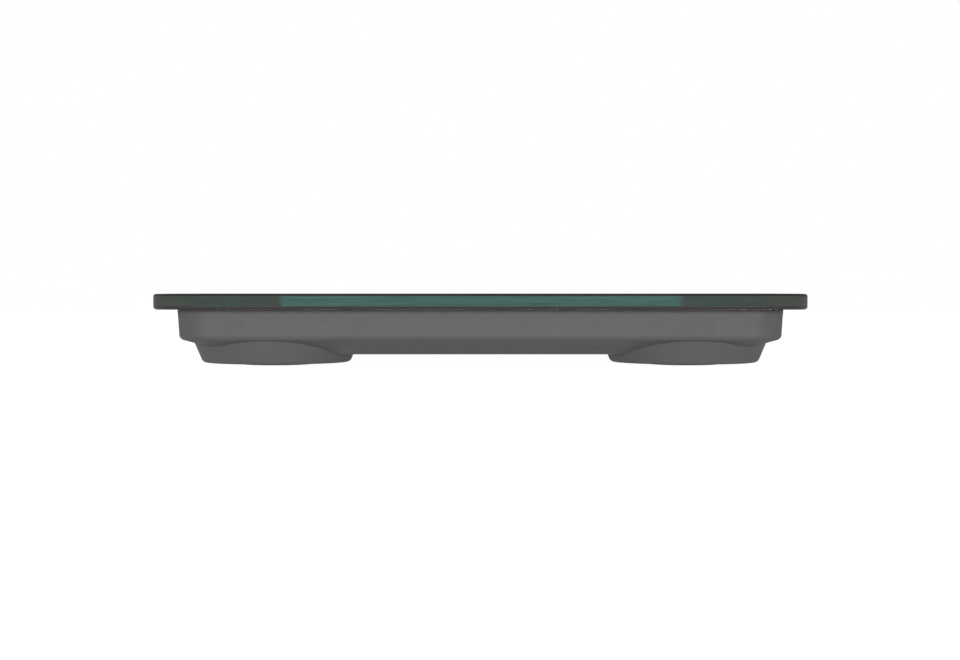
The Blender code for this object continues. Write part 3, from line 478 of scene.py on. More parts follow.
def painted_light_edge_finish():
    """The sheet's ground edge with its light painted in: a teal band of painted light in the
    middle of each side, painted shade at its ends.
    """
    edge = finish("glass_edge_painted_light", EDGE_TEAL_PAINTED_LIGHT[0], 0.35, Specular_IOR_Level=0.12)
    along = calculate(edge, "MINIMUM", share_of_side(edge, 0), share_of_side(edge, 1))
    wander = between(edge, noise(edge, 5 * MM, 3), -BRIGHT_BLUR, BRIGHT_BLUR)
    along = calculate(edge, "ADD", along, wander)
    ends = step_up(edge, along, BRIGHT_SHARE - BRIGHT_BLUR, BRIGHT_SHARE + BRIGHT_BLUR)
    streaks = between(edge, noise(edge, 0.45 * MM, 2, (30, 30, 1)), 0, 1)
    blotches = between(edge, noise(edge, 3.5 * MM, 3), 0, 1)
    # The teal band of painted light, and painted shade at the ends and the corners.
    painted_light_band = mixed(edge, streaks, *EDGE_TEAL_PAINTED_LIGHT)
    painted_end_shade = mixed(edge, blotches, *EDGE_OLIVE_PAINTED_SHADE)
    corner = step_up(edge, along, CORNER_SHARE - CORNER_BLUR, CORNER_SHARE + CORNER_BLUR)
    across = mixed(edge, ends, painted_light_band, mixed(edge, corner, painted_end_shade, EDGE_CORNER_PAINTED_SHADE))
    place = add_node(edge, "TexCoord").outputs["Object"]
    height = add_node(edge, "SeparateXYZ", {"Vector": place}).outputs["Z"]
    # Painted shade on the two arrises, over the heights of their bands.
    from_foot = step_up(edge, height, *(glass_low.z + reach for reach in FOOT_BAND))
    to_top = step_up(edge, height, *(glass_high.z - reach for reach in TOP_BAND))
    banded = mixed(edge, from_foot, EDGE_FOOT_PRINT_AND_SHADE, across)
    feed(edge, "Base Color", mixed(edge, to_top, banded, EDGE_DARK_PAINTED_SHADE))
    uneven_roughness(edge, 0.8 * MM, 0.30, 0.42, (12, 12, 1))
    bumpy(edge, noise(edge, 0.3 * MM, 2, (20, 20, 1)), 0.004 * MM)
    return edge


ground_edge = painted_light_edge_finish()
print("glass", [round(v / MM, 1) for v in 2 * half_sheet], "mm")

# %% [markdown]
# The sheet could be a box with a Bevel modifier, but the big corners and the small arris need
# different radii. So the block's four upright edges are bevelled first, finely enough that the
# corners stay round up close, and then the rim of each face gets its arris.

# %% Model the glass sheet
GLASS_CORNER = 15 * MM
ARRIS = 0.7 * MM
bm = bmesh.new()
add_block(bm, glass_low, glass_high)
round_edges(bm, [e for e in bm.edges if is_upright(e)], GLASS_CORNER, 24)
for rim in (glass_low.z, glass_high.z):
    round_edges(bm, edges_at(bm.verts, rim), ARRIS, 6)
for face in bm.faces:
    # Slot 0 is for the two flat faces, and slot 1 for the whole ground edge.
    face.material_index = 0 if abs(face.normal.z) > 0.999 else 1
glass_faces = len(bm.faces)
finishes = (clear_glass, ground_edge)
make_piece(bm, "glass_sheet", "scale_body", finishes, ("glass_platform",))
print("glass sheet:", glass_faces, "faces")

# %% [markdown]
# ## Back print
# The glass is printed on its back with an opaque charcoal enamel that hides the tray, with a
# clear window over the display. The print is modelled as its own thin film just under the
# glass, with a real hole for the window, so that the light which gets through the glass lands
# on it 4 mm down, and the depth of the glass shows.

# %% Model the back print
PRINT_THICKNESS = 0.05 * MM
PRINT_MARGIN = 0.6 * MM
WINDOW = (48 * MM, 17 * MM)
WINDOW_CORNER = 1.5 * MM
PRINT_GAP = 0.02 * MM
print_top = glass_low.z - PRINT_GAP
print_low = print_top - PRINT_THICKNESS
display_low, display_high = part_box("lcd_panel")
display_middle = (display_low + display_high) / 2

enamel = finish("charcoal_enamel", (0.012, 0.012, 0.013), 0.35)
uneven_colour(enamel, 9 * MM, (0.010, 0.010, 0.011), (0.0135, 0.0135, 0.0145))
uneven_roughness(enamel, 2 * MM, 0.3, 0.42)


def rounded_slab(low, high, corner, segments=16):
    """A flat slab with round corners in plan."""
    slab = bmesh.new()
    add_block(slab, low, high)
    round_edges(slab, [e for e in slab.edges if is_upright(e)], corner, segments)
    return slab


margin = Vector((PRINT_MARGIN, PRINT_MARGIN, 0))
film = rounded_slab(
    Vector((glass_low.x, glass_low.y, print_low)) + margin,
    Vector((glass_high.x, glass_high.y, print_top)) - margin,
    GLASS_CORNER - PRINT_MARGIN,
)
window_half = Vector((WINDOW[0] / 2, WINDOW[1] / 2, 0))
window_centre = Vector((display_middle.x, display_middle.y, 0))
window = rounded_slab(
    window_centre - window_half + Vector((0, 0, print_low - MM)),
    window_centre + window_half + Vector((0, 0, print_top + MM)),
    WINDOW_CORNER,
    8,
)
make_piece(carve(film, window), "back_print", "scale_body", (enamel,))
print("window over the display:", [round(v / MM) for v in WINDOW], "mm")

# %% [markdown]
# ## Key marks
# The two touch keys have no moving parts: each is a spring behind the glass, and only a printed
# mark says where to press. The marks here are plain and generic, a broken ring with a bar for
# power and a small ring between two arrowheads for zero. They are thin shapes that lie between
# the glass and the print, because ink on glass has a crisp edge that a texture would blur.

# %% Ink, rings, bars and arrows
INK_TOP = glass_low.z - 0.005 * MM
INK_LOW = print_top + 0.003 * MM
white_ink = finish("pale_ink", (0.6, 0.62, 0.62), 0.5)
uneven_colour(white_ink, 3 * MM, (0.5, 0.52, 0.52), (0.62, 0.64, 0.64))


def ink_ring(bm, x, y, radius, width, segments=64):
    """A flat printed ring, as a thin closed solid."""
    inner = radius - width
    section = [(radius, INK_TOP), (radius, INK_LOW), (inner, INK_LOW), (inner, INK_TOP)]
    spin_profile(bm, section, x, y, segments, closed=True)


def ink_bar(bm, x, y, width, length):
    half_x, half_y = width / 2, length / 2
    add_block(bm, (x - half_x, y - half_y, INK_LOW), (x + half_x, y + half_y, INK_TOP))


def add_arrow(bm, centre, size, foot_size, thickness, way):
    """A three-sided slab that points along the direction `way`, in plan."""
    place = Matrix.Translation(centre) @ Matrix.Rotation(way, 4, "Z")
    sizes = {"radius1": foot_size, "radius2": size, "depth": thickness}
    bmesh.ops.create_cone(bm, cap_ends=True, segments=3, matrix=place, **sizes)


print("ink", round((INK_TOP - INK_LOW) / MM, 3), "mm thick")

# %% [markdown]
# The power mark's ring is broken at the top by a block cut from it, and a bar stands in the gap.
# The zero mark's arrowheads are three-sided slabs on the two sides of a small ring.

# %% Model the key marks
KEY_RING = 5.2 * MM
KEY_LINE = 0.28 * MM
GLYPH = 1.7 * MM
GLYPH_LINE = 0.4 * MM
ARROWHEAD = 0.45 * GLYPH
for side, key in (("left", "power"), ("right", "zero")):
    spot = middle("touch_spring_" + side)
    bm = bmesh.new()
    ink_ring(bm, spot.x, spot.y, KEY_RING, KEY_LINE)
    if key == "power":
        glyph, gap = bmesh.new(), bmesh.new()
        ink_ring(glyph, spot.x, spot.y, GLYPH, GLYPH_LINE, 48)
        gap_low = Vector((spot.x - 1.5 * GLYPH_LINE, spot.y, INK_LOW - MM))
        add_block(gap, gap_low, (spot.x + 1.5 * GLYPH_LINE, spot.y + 2 * GLYPH, INK_TOP + MM))
        broken = carve(glyph, gap)
        broken_mesh = bpy.data.meshes.new("broken_ring")
        broken.to_mesh(broken_mesh)
        broken.free()
        bm.from_mesh(broken_mesh)
        bpy.data.meshes.remove(broken_mesh)
        ink_bar(bm, spot.x, spot.y + 0.8 * GLYPH, GLYPH_LINE, 1.3 * GLYPH)
    else:
        ink_ring(bm, spot.x, spot.y, 0.75 * GLYPH, GLYPH_LINE, 48)
        for side_of_ring, way in ((-1, 0), (1, math.pi)):
            centre = (spot.x + side_of_ring * 1.7 * GLYPH, spot.y, (INK_LOW + INK_TOP) / 2)
            add_arrow(bm, centre, ARROWHEAD, ARROWHEAD, INK_TOP - INK_LOW, way)
    bmesh.ops.recalc_face_normals(bm, faces=bm.faces)
    make_piece(bm, "key_mark_" + key, "scale_body", (white_ink,))
print("key marks at the touch springs")

# %% [markdown]
# ## Tray
# The tray is one plastic moulding: a flat underside 3 mm off the table, a slope up to a crease,
# and a wall that leans out a little so that it leaves the mould. Its corners get tighter as it
# comes in. A subdivision cage would blur the crease, and a bevelled box can't change its corner
# radius on the way down. So one rounded face is extruded down through the levels of the section
# curve, and at each level its four corner arcs are scaled and moved, the way a lofted surface
# is drawn.

# %% The section of the tray
housing_low, housing_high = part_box("base_housing")
RIM = Vector((housing_high.x, housing_high.y))
RIM_Z = housing_high.z
POD_Z = housing_low.z
RIM_CORNER = 8.9 * MM
CORNER_TAPER = 0.16
UNDERSIDE_Z = 3.0 * MM
CREASE_Z = 7.2 * MM
CREASE_FILLET = 1.5 * MM
SLOPE = math.radians(19.1)
WALL_DRAFT = math.radians(3.3)
WALL = 1.8 * MM
FLOOR = 1.6 * MM
crease_inset = (RIM_Z - CREASE_Z) * math.tan(WALL_DRAFT)
slope_run = (CREASE_Z - UNDERSIDE_Z) / math.tan(SLOPE)


def fillet_levels(steps):
    """(inset, height) points round the fillet between the wall and the slope, downwards."""
    turn = math.pi / 2 - SLOPE - WALL_DRAFT
    tangent = CREASE_FILLET * math.tan(turn / 2)
    foot = Vector((math.cos(SLOPE), -math.sin(SLOPE))) * tangent
    centre = Vector((crease_inset, CREASE_Z)) + foot
    centre += Vector((math.sin(SLOPE), math.cos(SLOPE))) * CREASE_FILLET
    start = math.pi - WALL_DRAFT
    levels = []
    for step in range(steps + 1):
        angle = start + turn * step / steps
        reach = Vector((math.cos(angle), math.sin(angle))) * CREASE_FILLET
        levels.append(tuple(centre + reach))
    return levels


def extrude_levels(bm, face, levels, wall=0.0):
    """Extrude a rounded face through (inset, height) levels, its corners getting tighter."""
    radius = RIM_CORNER - wall
    inset_now = 0.0
    for level, (inset, height) in enumerate(levels):
        grown = bmesh.ops.extrude_face_region(bm, geom=[face])["geom"]
        if level:
            # The first face stays as the lid. Each later one would be a wall inside the block.
            bmesh.ops.delete(bm, geom=[face], context="FACES_ONLY")
        ring = [item for item in grown if isinstance(item, bmesh.types.BMVert)]
        face = next(item for item in grown if isinstance(item, bmesh.types.BMFace))
        new_radius = max(RIM_CORNER - CORNER_TAPER * inset - wall, 1 * MM)
        centre_now = RIM - Vector((wall + inset_now + radius,) * 2)
        centre_new = RIM - Vector((wall + inset + new_radius,) * 2)
        for sign_x in (-1, 1):
            for sign_y in (-1, 1):
                corner = [v for v in ring if v.co.x * sign_x > 0 and v.co.y * sign_y > 0]
                here = Vector((sign_x * centre_now.x, sign_y * centre_now.y, 0))
                there = Vector((sign_x * centre_new.x, sign_y * centre_new.y, 0))
                size = new_radius / radius
                bmesh.ops.scale(
                    bm, vec=(size, size, 1), space=Matrix.Translation(-here), verts=corner
                )
                bmesh.ops.translate(bm, vec=there - here, verts=corner)
        drop = height - ring[0].co.z
        bmesh.ops.translate(bm, vec=(0, 0, drop), verts=ring)
        inset_now, radius = inset, new_radius


def hanging_block(levels, top, wall=0.0, segments=16):
    """A closed block that hangs from a rounded top face down through its levels."""
    bm = bmesh.new()
    bmesh.ops.create_grid(bm, x_segments=1, y_segments=1, size=1)
    half = RIM - Vector((wall, wall))
    bmesh.ops.scale(bm, vec=(half.x, half.y, 1), verts=bm.verts)
    bmesh.ops.translate(bm, vec=(0, 0, top), verts=bm.verts)
    bmesh.ops.bevel(
        bm, geom=bm.verts[:], offset=RIM_CORNER - wall, offset_type="OFFSET",
        segments=segments, profile=0.5, affect="VERTICES", material=-1,
    )
    extrude_levels(bm, bm.faces[:][0], levels, wall)
    bmesh.ops.remove_doubles(bm, verts=bm.verts, dist=0.001 * MM)
    bmesh.ops.recalc_face_normals(bm, faces=bm.faces)
    return bm


print("section: the slope runs in by", round(slope_run / MM, 1), "mm")

# %% [markdown]
# The outer block has all the levels: the fillet of the crease, three levels that round the edge
# between the slope and the flat underside, and a small rounding of the rim.

# %% Model the outer block
UNDERSIDE_EDGE = 0.6 * MM
RIM_EDGE = 0.2 * MM
edge_inset = crease_inset + slope_run
edge_levels = [
    (edge_inset - UNDERSIDE_EDGE, UNDERSIDE_Z + UNDERSIDE_EDGE * math.tan(SLOPE)),
    (edge_inset - 0.15 * UNDERSIDE_EDGE, UNDERSIDE_Z + 0.06 * MM),
    (edge_inset + 0.5 * UNDERSIDE_EDGE, UNDERSIDE_Z),
]
outer = hanging_block(fillet_levels(10) + edge_levels, RIM_Z)
round_edges(outer, edges_at(outer.verts, RIM_Z), RIM_EDGE, 3)
print("outer block:", len(outer.faces), "faces, closed:", all(e.is_manifold for e in outer.edges))

# %% [markdown]
# The pods and the hollow follow. Each is a simple solid: a cone with its lower edge rounded, or a
# smaller copy of the block. Exact booleans join and cut them in the order a mould maker would
# think of them, outside first, then the hollow, then what stands inside it, and the holes last.
# The pods' places come from the feet. Round the top, a thin lip reaches up to the glass and
# hides the foam tape on the ledge inside it.

# %% Model the pods and the hollow
POD_RADIUS = 19.8 * MM
POD_FLARE = 0.42
POD_EDGE = 0.9 * MM
POD_FLOOR = 1.4 * MM
POD_ROOT = 0.4 * MM
POD_INSIDE_EDGE = 0.6 * MM
FIT_GAP = 0.3 * MM
BOND_GAP = 0.1 * MM
pods = {corner: middle("load_foot_" + corner) for corner in CORNERS}


def pod_cones(low, high, radius, edge=0.0, segments=96):
    """The four cones, flaring upwards, as one bmesh."""
    bm = bmesh.new()
    for pod in pods.values():
        top = radius + POD_FLARE * (high - low)
        verts = add_rod(bm, pod.x, pod.y, low, high, radius, top, segments)
        if edge:
            round_edges(bm, edges_at(verts, low), edge, 5)
    return bm


crown = CREASE_Z + POD_ROOT
tray = carve(outer, pod_cones(POD_Z, crown, POD_RADIUS, POD_EDGE), "UNION")

rise = FLOOR / math.cos(SLOPE)
inner_crease = CREASE_Z + rise - WALL * math.tan(SLOPE)
inner_run = (inner_crease - UNDERSIDE_Z - FLOOR) / math.tan(SLOPE)


def drafted(height):
    """How far the drafted wall has come in at this height."""
    return (RIM_Z - height) * math.tan(WALL_DRAFT)


inner_inset = drafted(inner_crease)
inner_levels = [(inner_inset, inner_crease), (inner_inset + inner_run, UNDERSIDE_Z + FLOOR)]
tray = carve(tray, hanging_block(inner_levels, RIM_Z + MM, WALL))
tape_low, tape_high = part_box("bonding_tape")
tape_seat = tape_low.z - BOND_GAP
lip = RIM.x - tape_high.x - BOND_GAP
tray = carve(tray, hanging_block([(0.0, tape_seat)], RIM_Z + MM, lip))
pod_inside = POD_RADIUS + POD_FLARE * POD_FLOOR - WALL
pod_hollows = pod_cones(POD_Z + POD_FLOOR, crown + 3 * FIT_GAP, pod_inside, POD_INSIDE_EDGE)
tray = carve(tray, pod_hollows)
print("shell of the tray:", len(tray.faces), "faces")

# %% [markdown]
# Thin ribs stand round the wall inside and stiffen the rim. Each starts as a box against one
# wall, whose foot is lifted to follow the slope, and is then turned to its own side.

# %% Model the ribs
RIB_THICKNESS = 1.0 * MM
RIB_DEPTH = 3.8 * MM
RIB_PITCH = 24 * MM
inside = bmesh.new()


def slope_middle(distance):
    """A height inside the slope's thickness, this far in from the wall."""
    return CREASE_Z - distance * math.tan(SLOPE) + FLOOR / 2


rib_foot = slope_middle(WALL + RIB_DEPTH)
rib_lift = slope_middle(WALL / 2) - rib_foot
for half, reach, turn in ((RIM.y, RIM.x, 0), (RIM.x, RIM.y, math.pi / 2)):
    count = int((half - RIM_CORNER - RIB_THICKNESS) / RIB_PITCH)
    near, far = reach - WALL / 2, reach - WALL - RIB_DEPTH
    for side in (0, math.pi):
        spin = Matrix.Rotation(turn + side, 4, "Z")
        for i in range(-count, count + 1):
            start, end = i * RIB_PITCH - RIB_THICKNESS / 2, i * RIB_PITCH + RIB_THICKNESS / 2
            verts = add_block(inside, (far, start, rib_foot), (near, end, tape_seat - BOND_GAP))
            wall_foot = [v for v in verts if v.co.x > (near + far) / 2 and v.co.z < crown + MM]
            bmesh.ops.translate(inside, vec=(0, 0, rib_lift), verts=wall_foot)
            bmesh.ops.transform(inside, matrix=spin, verts=verts)
print("ribs:", len(inside.verts) // 8)

# %% [markdown]
# Posts carry the load cells and the circuit board, and a thick block is left for the battery
# bay. All of them reach into the floor or the wall, so that the boolean joins them to the shell.

# %% Model the posts and the block for the bay
SEAT_POST_RADIUS = 2.3 * MM
BOARD_POST_RADIUS = 2.4 * MM
PILOT_RADIUS = 1.25 * MM
BOARD_REST_EDGE = 8.0 * MM
BOARD_SCREW_EDGE = 4.0 * MM
cell_low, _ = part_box("load_cell_front_left")
screw_spot = abs(middle("cell_screw_front_left_2").x - pods["front_left"].x)
low, top = POD_Z + POD_FLOOR / 2, cell_low.z - BOND_GAP
for pod in pods.values():
    for across in (-screw_spot, screw_spot):
        for along in (-screw_spot, screw_spot):
            add_rod(inside, pod.x + across, pod.y + along, low, top, SEAT_POST_RADIUS)
board_low, board_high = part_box("circuit_board")
for side, word in ((-1, "left"), (1, "right")):
    screw = middle("board_screw_" + word)
    rest_x = side * (board_high.x - BOARD_REST_EDGE)
    for x, y in ((screw.x, screw.y), (rest_x, board_high.y - BOARD_SCREW_EDGE)):
        inset = max(0.0, -y - (RIM.y - edge_inset))
        low = UNDERSIDE_Z + FLOOR / 2 + inset * math.tan(SLOPE)
        add_rod(inside, x, y, low, board_low.z - BOND_GAP, BOARD_POST_RADIUS)

BAY_WALL = 2.1 * MM
BAY_ROOF_THICKNESS = 1.2 * MM
CONTACT_THICKNESS = 0.3 * MM
coin_low, coin_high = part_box("battery_cell")
door_low, door_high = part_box("battery_door")
bay_roof = coin_high.z + 3 * CONTACT_THICKNESS
bay_top = bay_roof + BAY_ROOF_THICKNESS
bay_half = door_high.x + FIT_GAP + BAY_WALL
coin_y = (coin_low.y + coin_high.y) / 2
bay_reach = (door_high.y - door_low.y) / 2 + FIT_GAP + BAY_WALL
bay_foot = (-bay_half, coin_y - bay_reach, UNDERSIDE_Z + FLOOR / 2)
add_block(inside, bay_foot, (bay_half, coin_y + bay_reach, bay_top))
bmesh.ops.recalc_face_normals(inside, faces=inside.faces)
tray = carve(tray, inside, "UNION")
print("tray with its inside:", len(tray.faces), "faces")

# %% [markdown]
# The holes come last: the battery's bay and the step that its door closes into, slots for the
# contacts' tails, pilot holes for the screws, the four foot holes and the button's hole. Cutters
# that overlap in one bmesh are not cut properly, so the recess and the bay are cut one after the
# other. The rest lie apart, and go in one pass.

# %% Cut the holes
DOOR_LEDGE = 2.0 * MM
TAIL_SHARE = 0.7
FOOT_FLANGE = 1.3 * MM
BUTTON_RADIUS = 4.0 * MM
recess_half = door_high.x + FIT_GAP
recess_front, recess_rear = door_low.y - FIT_GAP, door_high.y + FIT_GAP
for ledge, top in ((0, door_high.z + FIT_GAP), (DOOR_LEDGE, bay_roof)):
    step = bmesh.new()
    low = (-recess_half + ledge, recess_front + 2 * ledge, UNDERSIDE_Z - MM)
    add_block(step, low, (recess_half - ledge, recess_rear - 2 * ledge, top))
    tray = carve(tray, step)

holes = bmesh.new()
tail_y = coin_y - TAIL_SHARE * (coin_high.y - coin_low.y) / 2
half_slot = CONTACT_THICKNESS / 2 + FIT_GAP
for contact in ("battery_contact_negative", "battery_contact_positive"):
    low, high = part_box(contact)
    slot_low = (low.x - FIT_GAP, tail_y - half_slot, bay_roof - FIT_GAP)
    add_block(holes, slot_low, (high.x + FIT_GAP, tail_y + half_slot, bay_top + FIT_GAP))
screws = [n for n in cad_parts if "_screw_" in n]
for name in screws:
    spot, (low, high) = middle(name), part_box(name)
    top = (board_low.z if name.startswith("board") else cell_low.z) + FIT_GAP
    add_rod(holes, spot.x, spot.y, low.z - 2 * BOND_GAP, top, PILOT_RADIUS, segments=24)
foot_low, foot_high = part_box("load_foot_front_left")
FOOT_RADIUS = (foot_high.x - foot_low.x) / 2 - FOOT_FLANGE
button_low, button_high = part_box("unit_button")
button_spot = middle("unit_button")
top = POD_Z + POD_FLOOR + FIT_GAP
for pod in pods.values():
    add_rod(holes, pod.x, pod.y, POD_Z - FIT_GAP, top, FOOT_RADIUS + FIT_GAP, segments=72)
low, high = UNDERSIDE_Z - FIT_GAP, UNDERSIDE_Z + FLOOR + FIT_GAP
add_rod(holes, button_spot.x, button_spot.y, low, high, BUTTON_RADIUS + FIT_GAP, segments=48)
tray = carve(tray, holes)
loose = sum(not e.is_manifold for e in tray.edges)
print("finished tray:", len(tray.faces), "faces;", loose, "open edges")

# %% [markdown]
# Moulded ABS of this kind has a fine spark-eroded texture, which turns its gloss to a soft
# sheen. It is a bump of a hundredth of a millimetre, too small to model. A second, very shallow
# bump with lumps a few centimetres apart gives the flat walls the slight waviness of a real
# moulding, and the grey wanders by a few percent.

# %% Finish of the moulded tray
HOUSING_GREY = 0.108
moulded_grey = finish("moulded_grey_abs", (HOUSING_GREY,) * 3, 0.5, Specular_IOR_Level=0.3)
dark, light = ((HOUSING_GREY * share,) * 3 for share in (0.97, 1.03))
uneven_colour(moulded_grey, 14 * MM, dark, light, detail=4)
uneven_roughness(moulded_grey, 3 * MM, 0.46, 0.56)
waves = bumpy(moulded_grey, noise(moulded_grey, 30 * MM, 1), 0.03 * MM)
bumpy(moulded_grey, noise(moulded_grey, 0.35 * MM), 0.012 * MM, waves)
make_piece(tray, "tray", "scale_body", (moulded_grey,), ("base_housing",))
print("tray in moulded grey")

# %% [markdown]
# ## Foam tape
# Black foam tape bonds the glass to the tray. It is only a dark line in the joint, but it closes
# the joint to light, so its piece fills the whole gap between the ledge and the print. Foam is
# matt, and its cut edge is full of tiny cells, which a Voronoi bump imitates.

# %% Model the foam tape
TAPE_WIDTH = 6 * MM
foam = finish("black_foam", (0.014, 0.014, 0.014), 0.92, Specular_IOR_Level=0.2)
uneven_colour(foam, 1.2 * MM, (0.010, 0.010, 0.010), (0.019, 0.019, 0.019))
place = add_node(foam, "TexCoord").outputs["Object"]
cells = add_node(foam, "TexVoronoi", {"Vector": place, "Scale": 1 / (0.25 * MM)})
bumpy(foam, cells.outputs["Distance"], 0.05 * MM)
tape_corner = RIM_CORNER - lip - BOND_GAP
clearance = Vector((0, 0, 0.01 * MM))
tape_foot = Vector((tape_low.x, tape_low.y, tape_seat))
tape_head = Vector((tape_high.x, tape_high.y, print_low))
tape = rounded_slab(tape_foot + clearance, tape_head - clearance, tape_corner)
inward = Vector((TAPE_WIDTH, TAPE_WIDTH, -MM))
opening = rounded_slab(tape_foot + inward, tape_head - inward, tape_corner - TAPE_WIDTH)
tape = carve(tape, opening)
make_piece(tape, "foam_tape", "scale_body", (foam,), ("bonding_tape",))
print("tape", round(TAPE_WIDTH / MM, 1), "mm wide, inside a lip of", round(lip / MM, 2), "mm")

# %% [markdown]
# ## Feet and pads
# A foot is a turned shape: a disc that shows through the pod's floor, a flange above it that
# keeps it in, and a post that presses on the load cell. A rubber pad fills its pocket and stands
# on the table. Turned shapes are drawn as half a section and spun. The rings that a hand would
# feel are then rounded, and the pad gets two shallow grooves that keep it from sliding.

# %% Finishes of the feet and pads
dark_plastic = finish("dark_moulded_plastic", (0.022, 0.022, 0.024), 0.5)
uneven_colour(dark_plastic, 8 * MM, (0.020, 0.020, 0.022), (0.026, 0.026, 0.028))
uneven_roughness(dark_plastic, 2.5 * MM, 0.42, 0.55)
bumpy(dark_plastic, noise(dark_plastic, 0.4 * MM), 0.008 * MM)
rubber = finish("grey_rubber", (0.045, 0.045, 0.044), 0.85, Specular_IOR_Level=0.35)
uneven_colour(rubber, 4 * MM, (0.038, 0.038, 0.037), (0.052, 0.052, 0.051), detail=5)
uneven_roughness(rubber, 1.5 * MM, 0.75, 0.95)
bumpy(rubber, noise(rubber, 0.3 * MM, 3), 0.02 * MM)
print("plastic and rubber ready")

# %% Model the feet and the pads
FOOT_FLANGE_THICKNESS = 1.0 * MM
FOOT_POST_RADIUS = 3.2 * MM
FOOT_EDGE = 0.3 * MM
PAD_EDGE = 0.25 * MM
GROOVES = (6.4 * MM, 3.4 * MM)
GROOVE_WIDTH = 0.7 * MM
GROOVE_DEPTH = 0.35 * MM
pad_low, pad_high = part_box("foot_pad_front_left")
PAD_RADIUS = (pad_high.x - pad_low.x) / 2
flange_low = POD_Z + POD_FLOOR + FIT_GAP
flange_top = flange_low + FOOT_FLANGE_THICKNESS


def foot_shape(x, y):
    """A foot with its flange, its post and the pocket for its pad."""
    bm = bmesh.new()
    pocket_top = pad_high.z + FIT_GAP
    profile = [
        (0, foot_high.z),
        (FOOT_POST_RADIUS, foot_high.z),
        (FOOT_POST_RADIUS, flange_top),
        (FOOT_RADIUS + FOOT_FLANGE, flange_top),
        (FOOT_RADIUS + FOOT_FLANGE, flange_low),
        (FOOT_RADIUS, flange_low),
        (FOOT_RADIUS, foot_low.z),
        (PAD_RADIUS + FIT_GAP, foot_low.z),
        (PAD_RADIUS + FIT_GAP, pocket_top),
        (0, pocket_top),
    ]
    spin_profile(bm, profile, x, y, 72)
    for radius, height in (profile[1], profile[2], profile[3], profile[6]):
        round_edges(bm, ring_edges(bm, x, y, radius, height), FOOT_EDGE, 3)
    return bm


def pad_shape(x, y):
    """A rubber pad whose sole has shallow ring grooves."""
    bm = bmesh.new()
    profile = [(0, pad_high.z), (PAD_RADIUS, pad_high.z), (PAD_RADIUS, 0)]
    for groove in GROOVES:
        for across, deep in ((0.5, 0), (0.25, 1), (-0.25, 1), (-0.5, 0)):
            profile.append((groove + across * GROOVE_WIDTH, deep * GROOVE_DEPTH))
    profile.append((0, 0))
    spin_profile(bm, profile, x, y, 64)
    round_edges(bm, ring_edges(bm, x, y, PAD_RADIUS, 0), PAD_EDGE, 3)
    return bm


for corner, pod in pods.items():
    body = "foot_" + corner
    foot, pad = foot_shape(pod.x, pod.y), pad_shape(pod.x, pod.y)
    make_piece(foot, body + "_disc", body, (dark_plastic,), ("load_" + body,))
    make_piece(pad, "pad_" + corner, body, (rubber,), ("foot_pad_" + corner,))
print("four feet, pads", round(2 * PAD_RADIUS / MM, 1), "mm across")

# %% [markdown]
# ## Battery door
# The door is a flat panel with rounded edges. Its rear edge is a round bead that it swings on,
# so that edge is bevelled until the bevel meets itself, and the others get a small radius. A
# half-round notch takes a fingertip, a row of raised ridges gives grip beside it, and a small
# raised arrow shows which way it opens.

# %% Model the battery door
DOOR_EDGE = 0.25 * MM
NOTCH_RADIUS = 4.0 * MM
NOTCH_DEPTH = 0.7 * MM
NOTCH_EDGE = 0.5 * MM
HALF_ROUND = 0.49
RIDGE_COUNT = 5
RIDGE_EDGE = 0.2 * MM
RIDGE_SIZE = Vector((11 * MM, 0.7 * MM, 0.25 * MM))
RIDGE_PITCH = 1.5 * MM
ARROW_SIZE = 2.2 * MM
ARROW_FACE = 0.85


def door_panel():
    """The flat panel with its bead and its finger notch."""
    bm = bmesh.new()
    add_block(bm, door_low, door_high)
    level = [e for e in bm.edges if not is_upright(e)]
    rear = [e for e in level if all(v.co.y > door_high.y - MM for v in e.verts)]
    round_edges(bm, rear, HALF_ROUND * (door_high.z - door_low.z), 6)
    front = [e for e in bm.edges if all(v.co.y < door_low.y + MM for v in e.verts)]
    round_edges(bm, front, DOOR_EDGE, 3)
    notch = bmesh.new()
    top = door_low.z + NOTCH_DEPTH
    add_rod(notch, 0, door_low.y, door_low.z - MM, top, NOTCH_RADIUS, segments=64)
    round_edges(notch, edges_at(notch.verts, top), NOTCH_EDGE)
    return carve(bm, notch)


def door_relief():
    """The grip ridges and the arrow, half sunk in the panel."""
    bm = bmesh.new()
    start = door_low.y + NOTCH_RADIUS
    for i in range(RIDGE_COUNT):
        centre = Vector((0, start + (i + 1) * RIDGE_PITCH, door_low.z))
        half = Vector((RIDGE_SIZE.x / 2, RIDGE_SIZE.y / 2, RIDGE_SIZE.z))
        verts = add_block(bm, centre - half, centre + half)
        round_edges(bm, edges_of(verts, lambda place: place.z < door_low.z), RIDGE_EDGE, 3)
    y = start + (RIDGE_COUNT + 1) * RIDGE_PITCH + ARROW_SIZE
    centre = (0, y, door_low.z)
    add_arrow(bm, centre, ARROW_SIZE, ARROW_FACE * ARROW_SIZE, 2 * RIDGE_SIZE.z, math.pi)
    return bm


door = carve(door_panel(), door_relief(), "UNION")
make_piece(door, "door_panel", "door", (moulded_grey,), ("battery_door",))
print("door", [round(v / MM, 1) for v in (door_high - door_low)], "mm")

# %% [markdown]
# ## Unit button
# The button in the underside is another turned piece: a cap with a softly dished face, so that
# a fingertip finds its middle, and a flange inside the tray. The dish is an arc at the end of
# the section, and the rim is rounded after the spin.

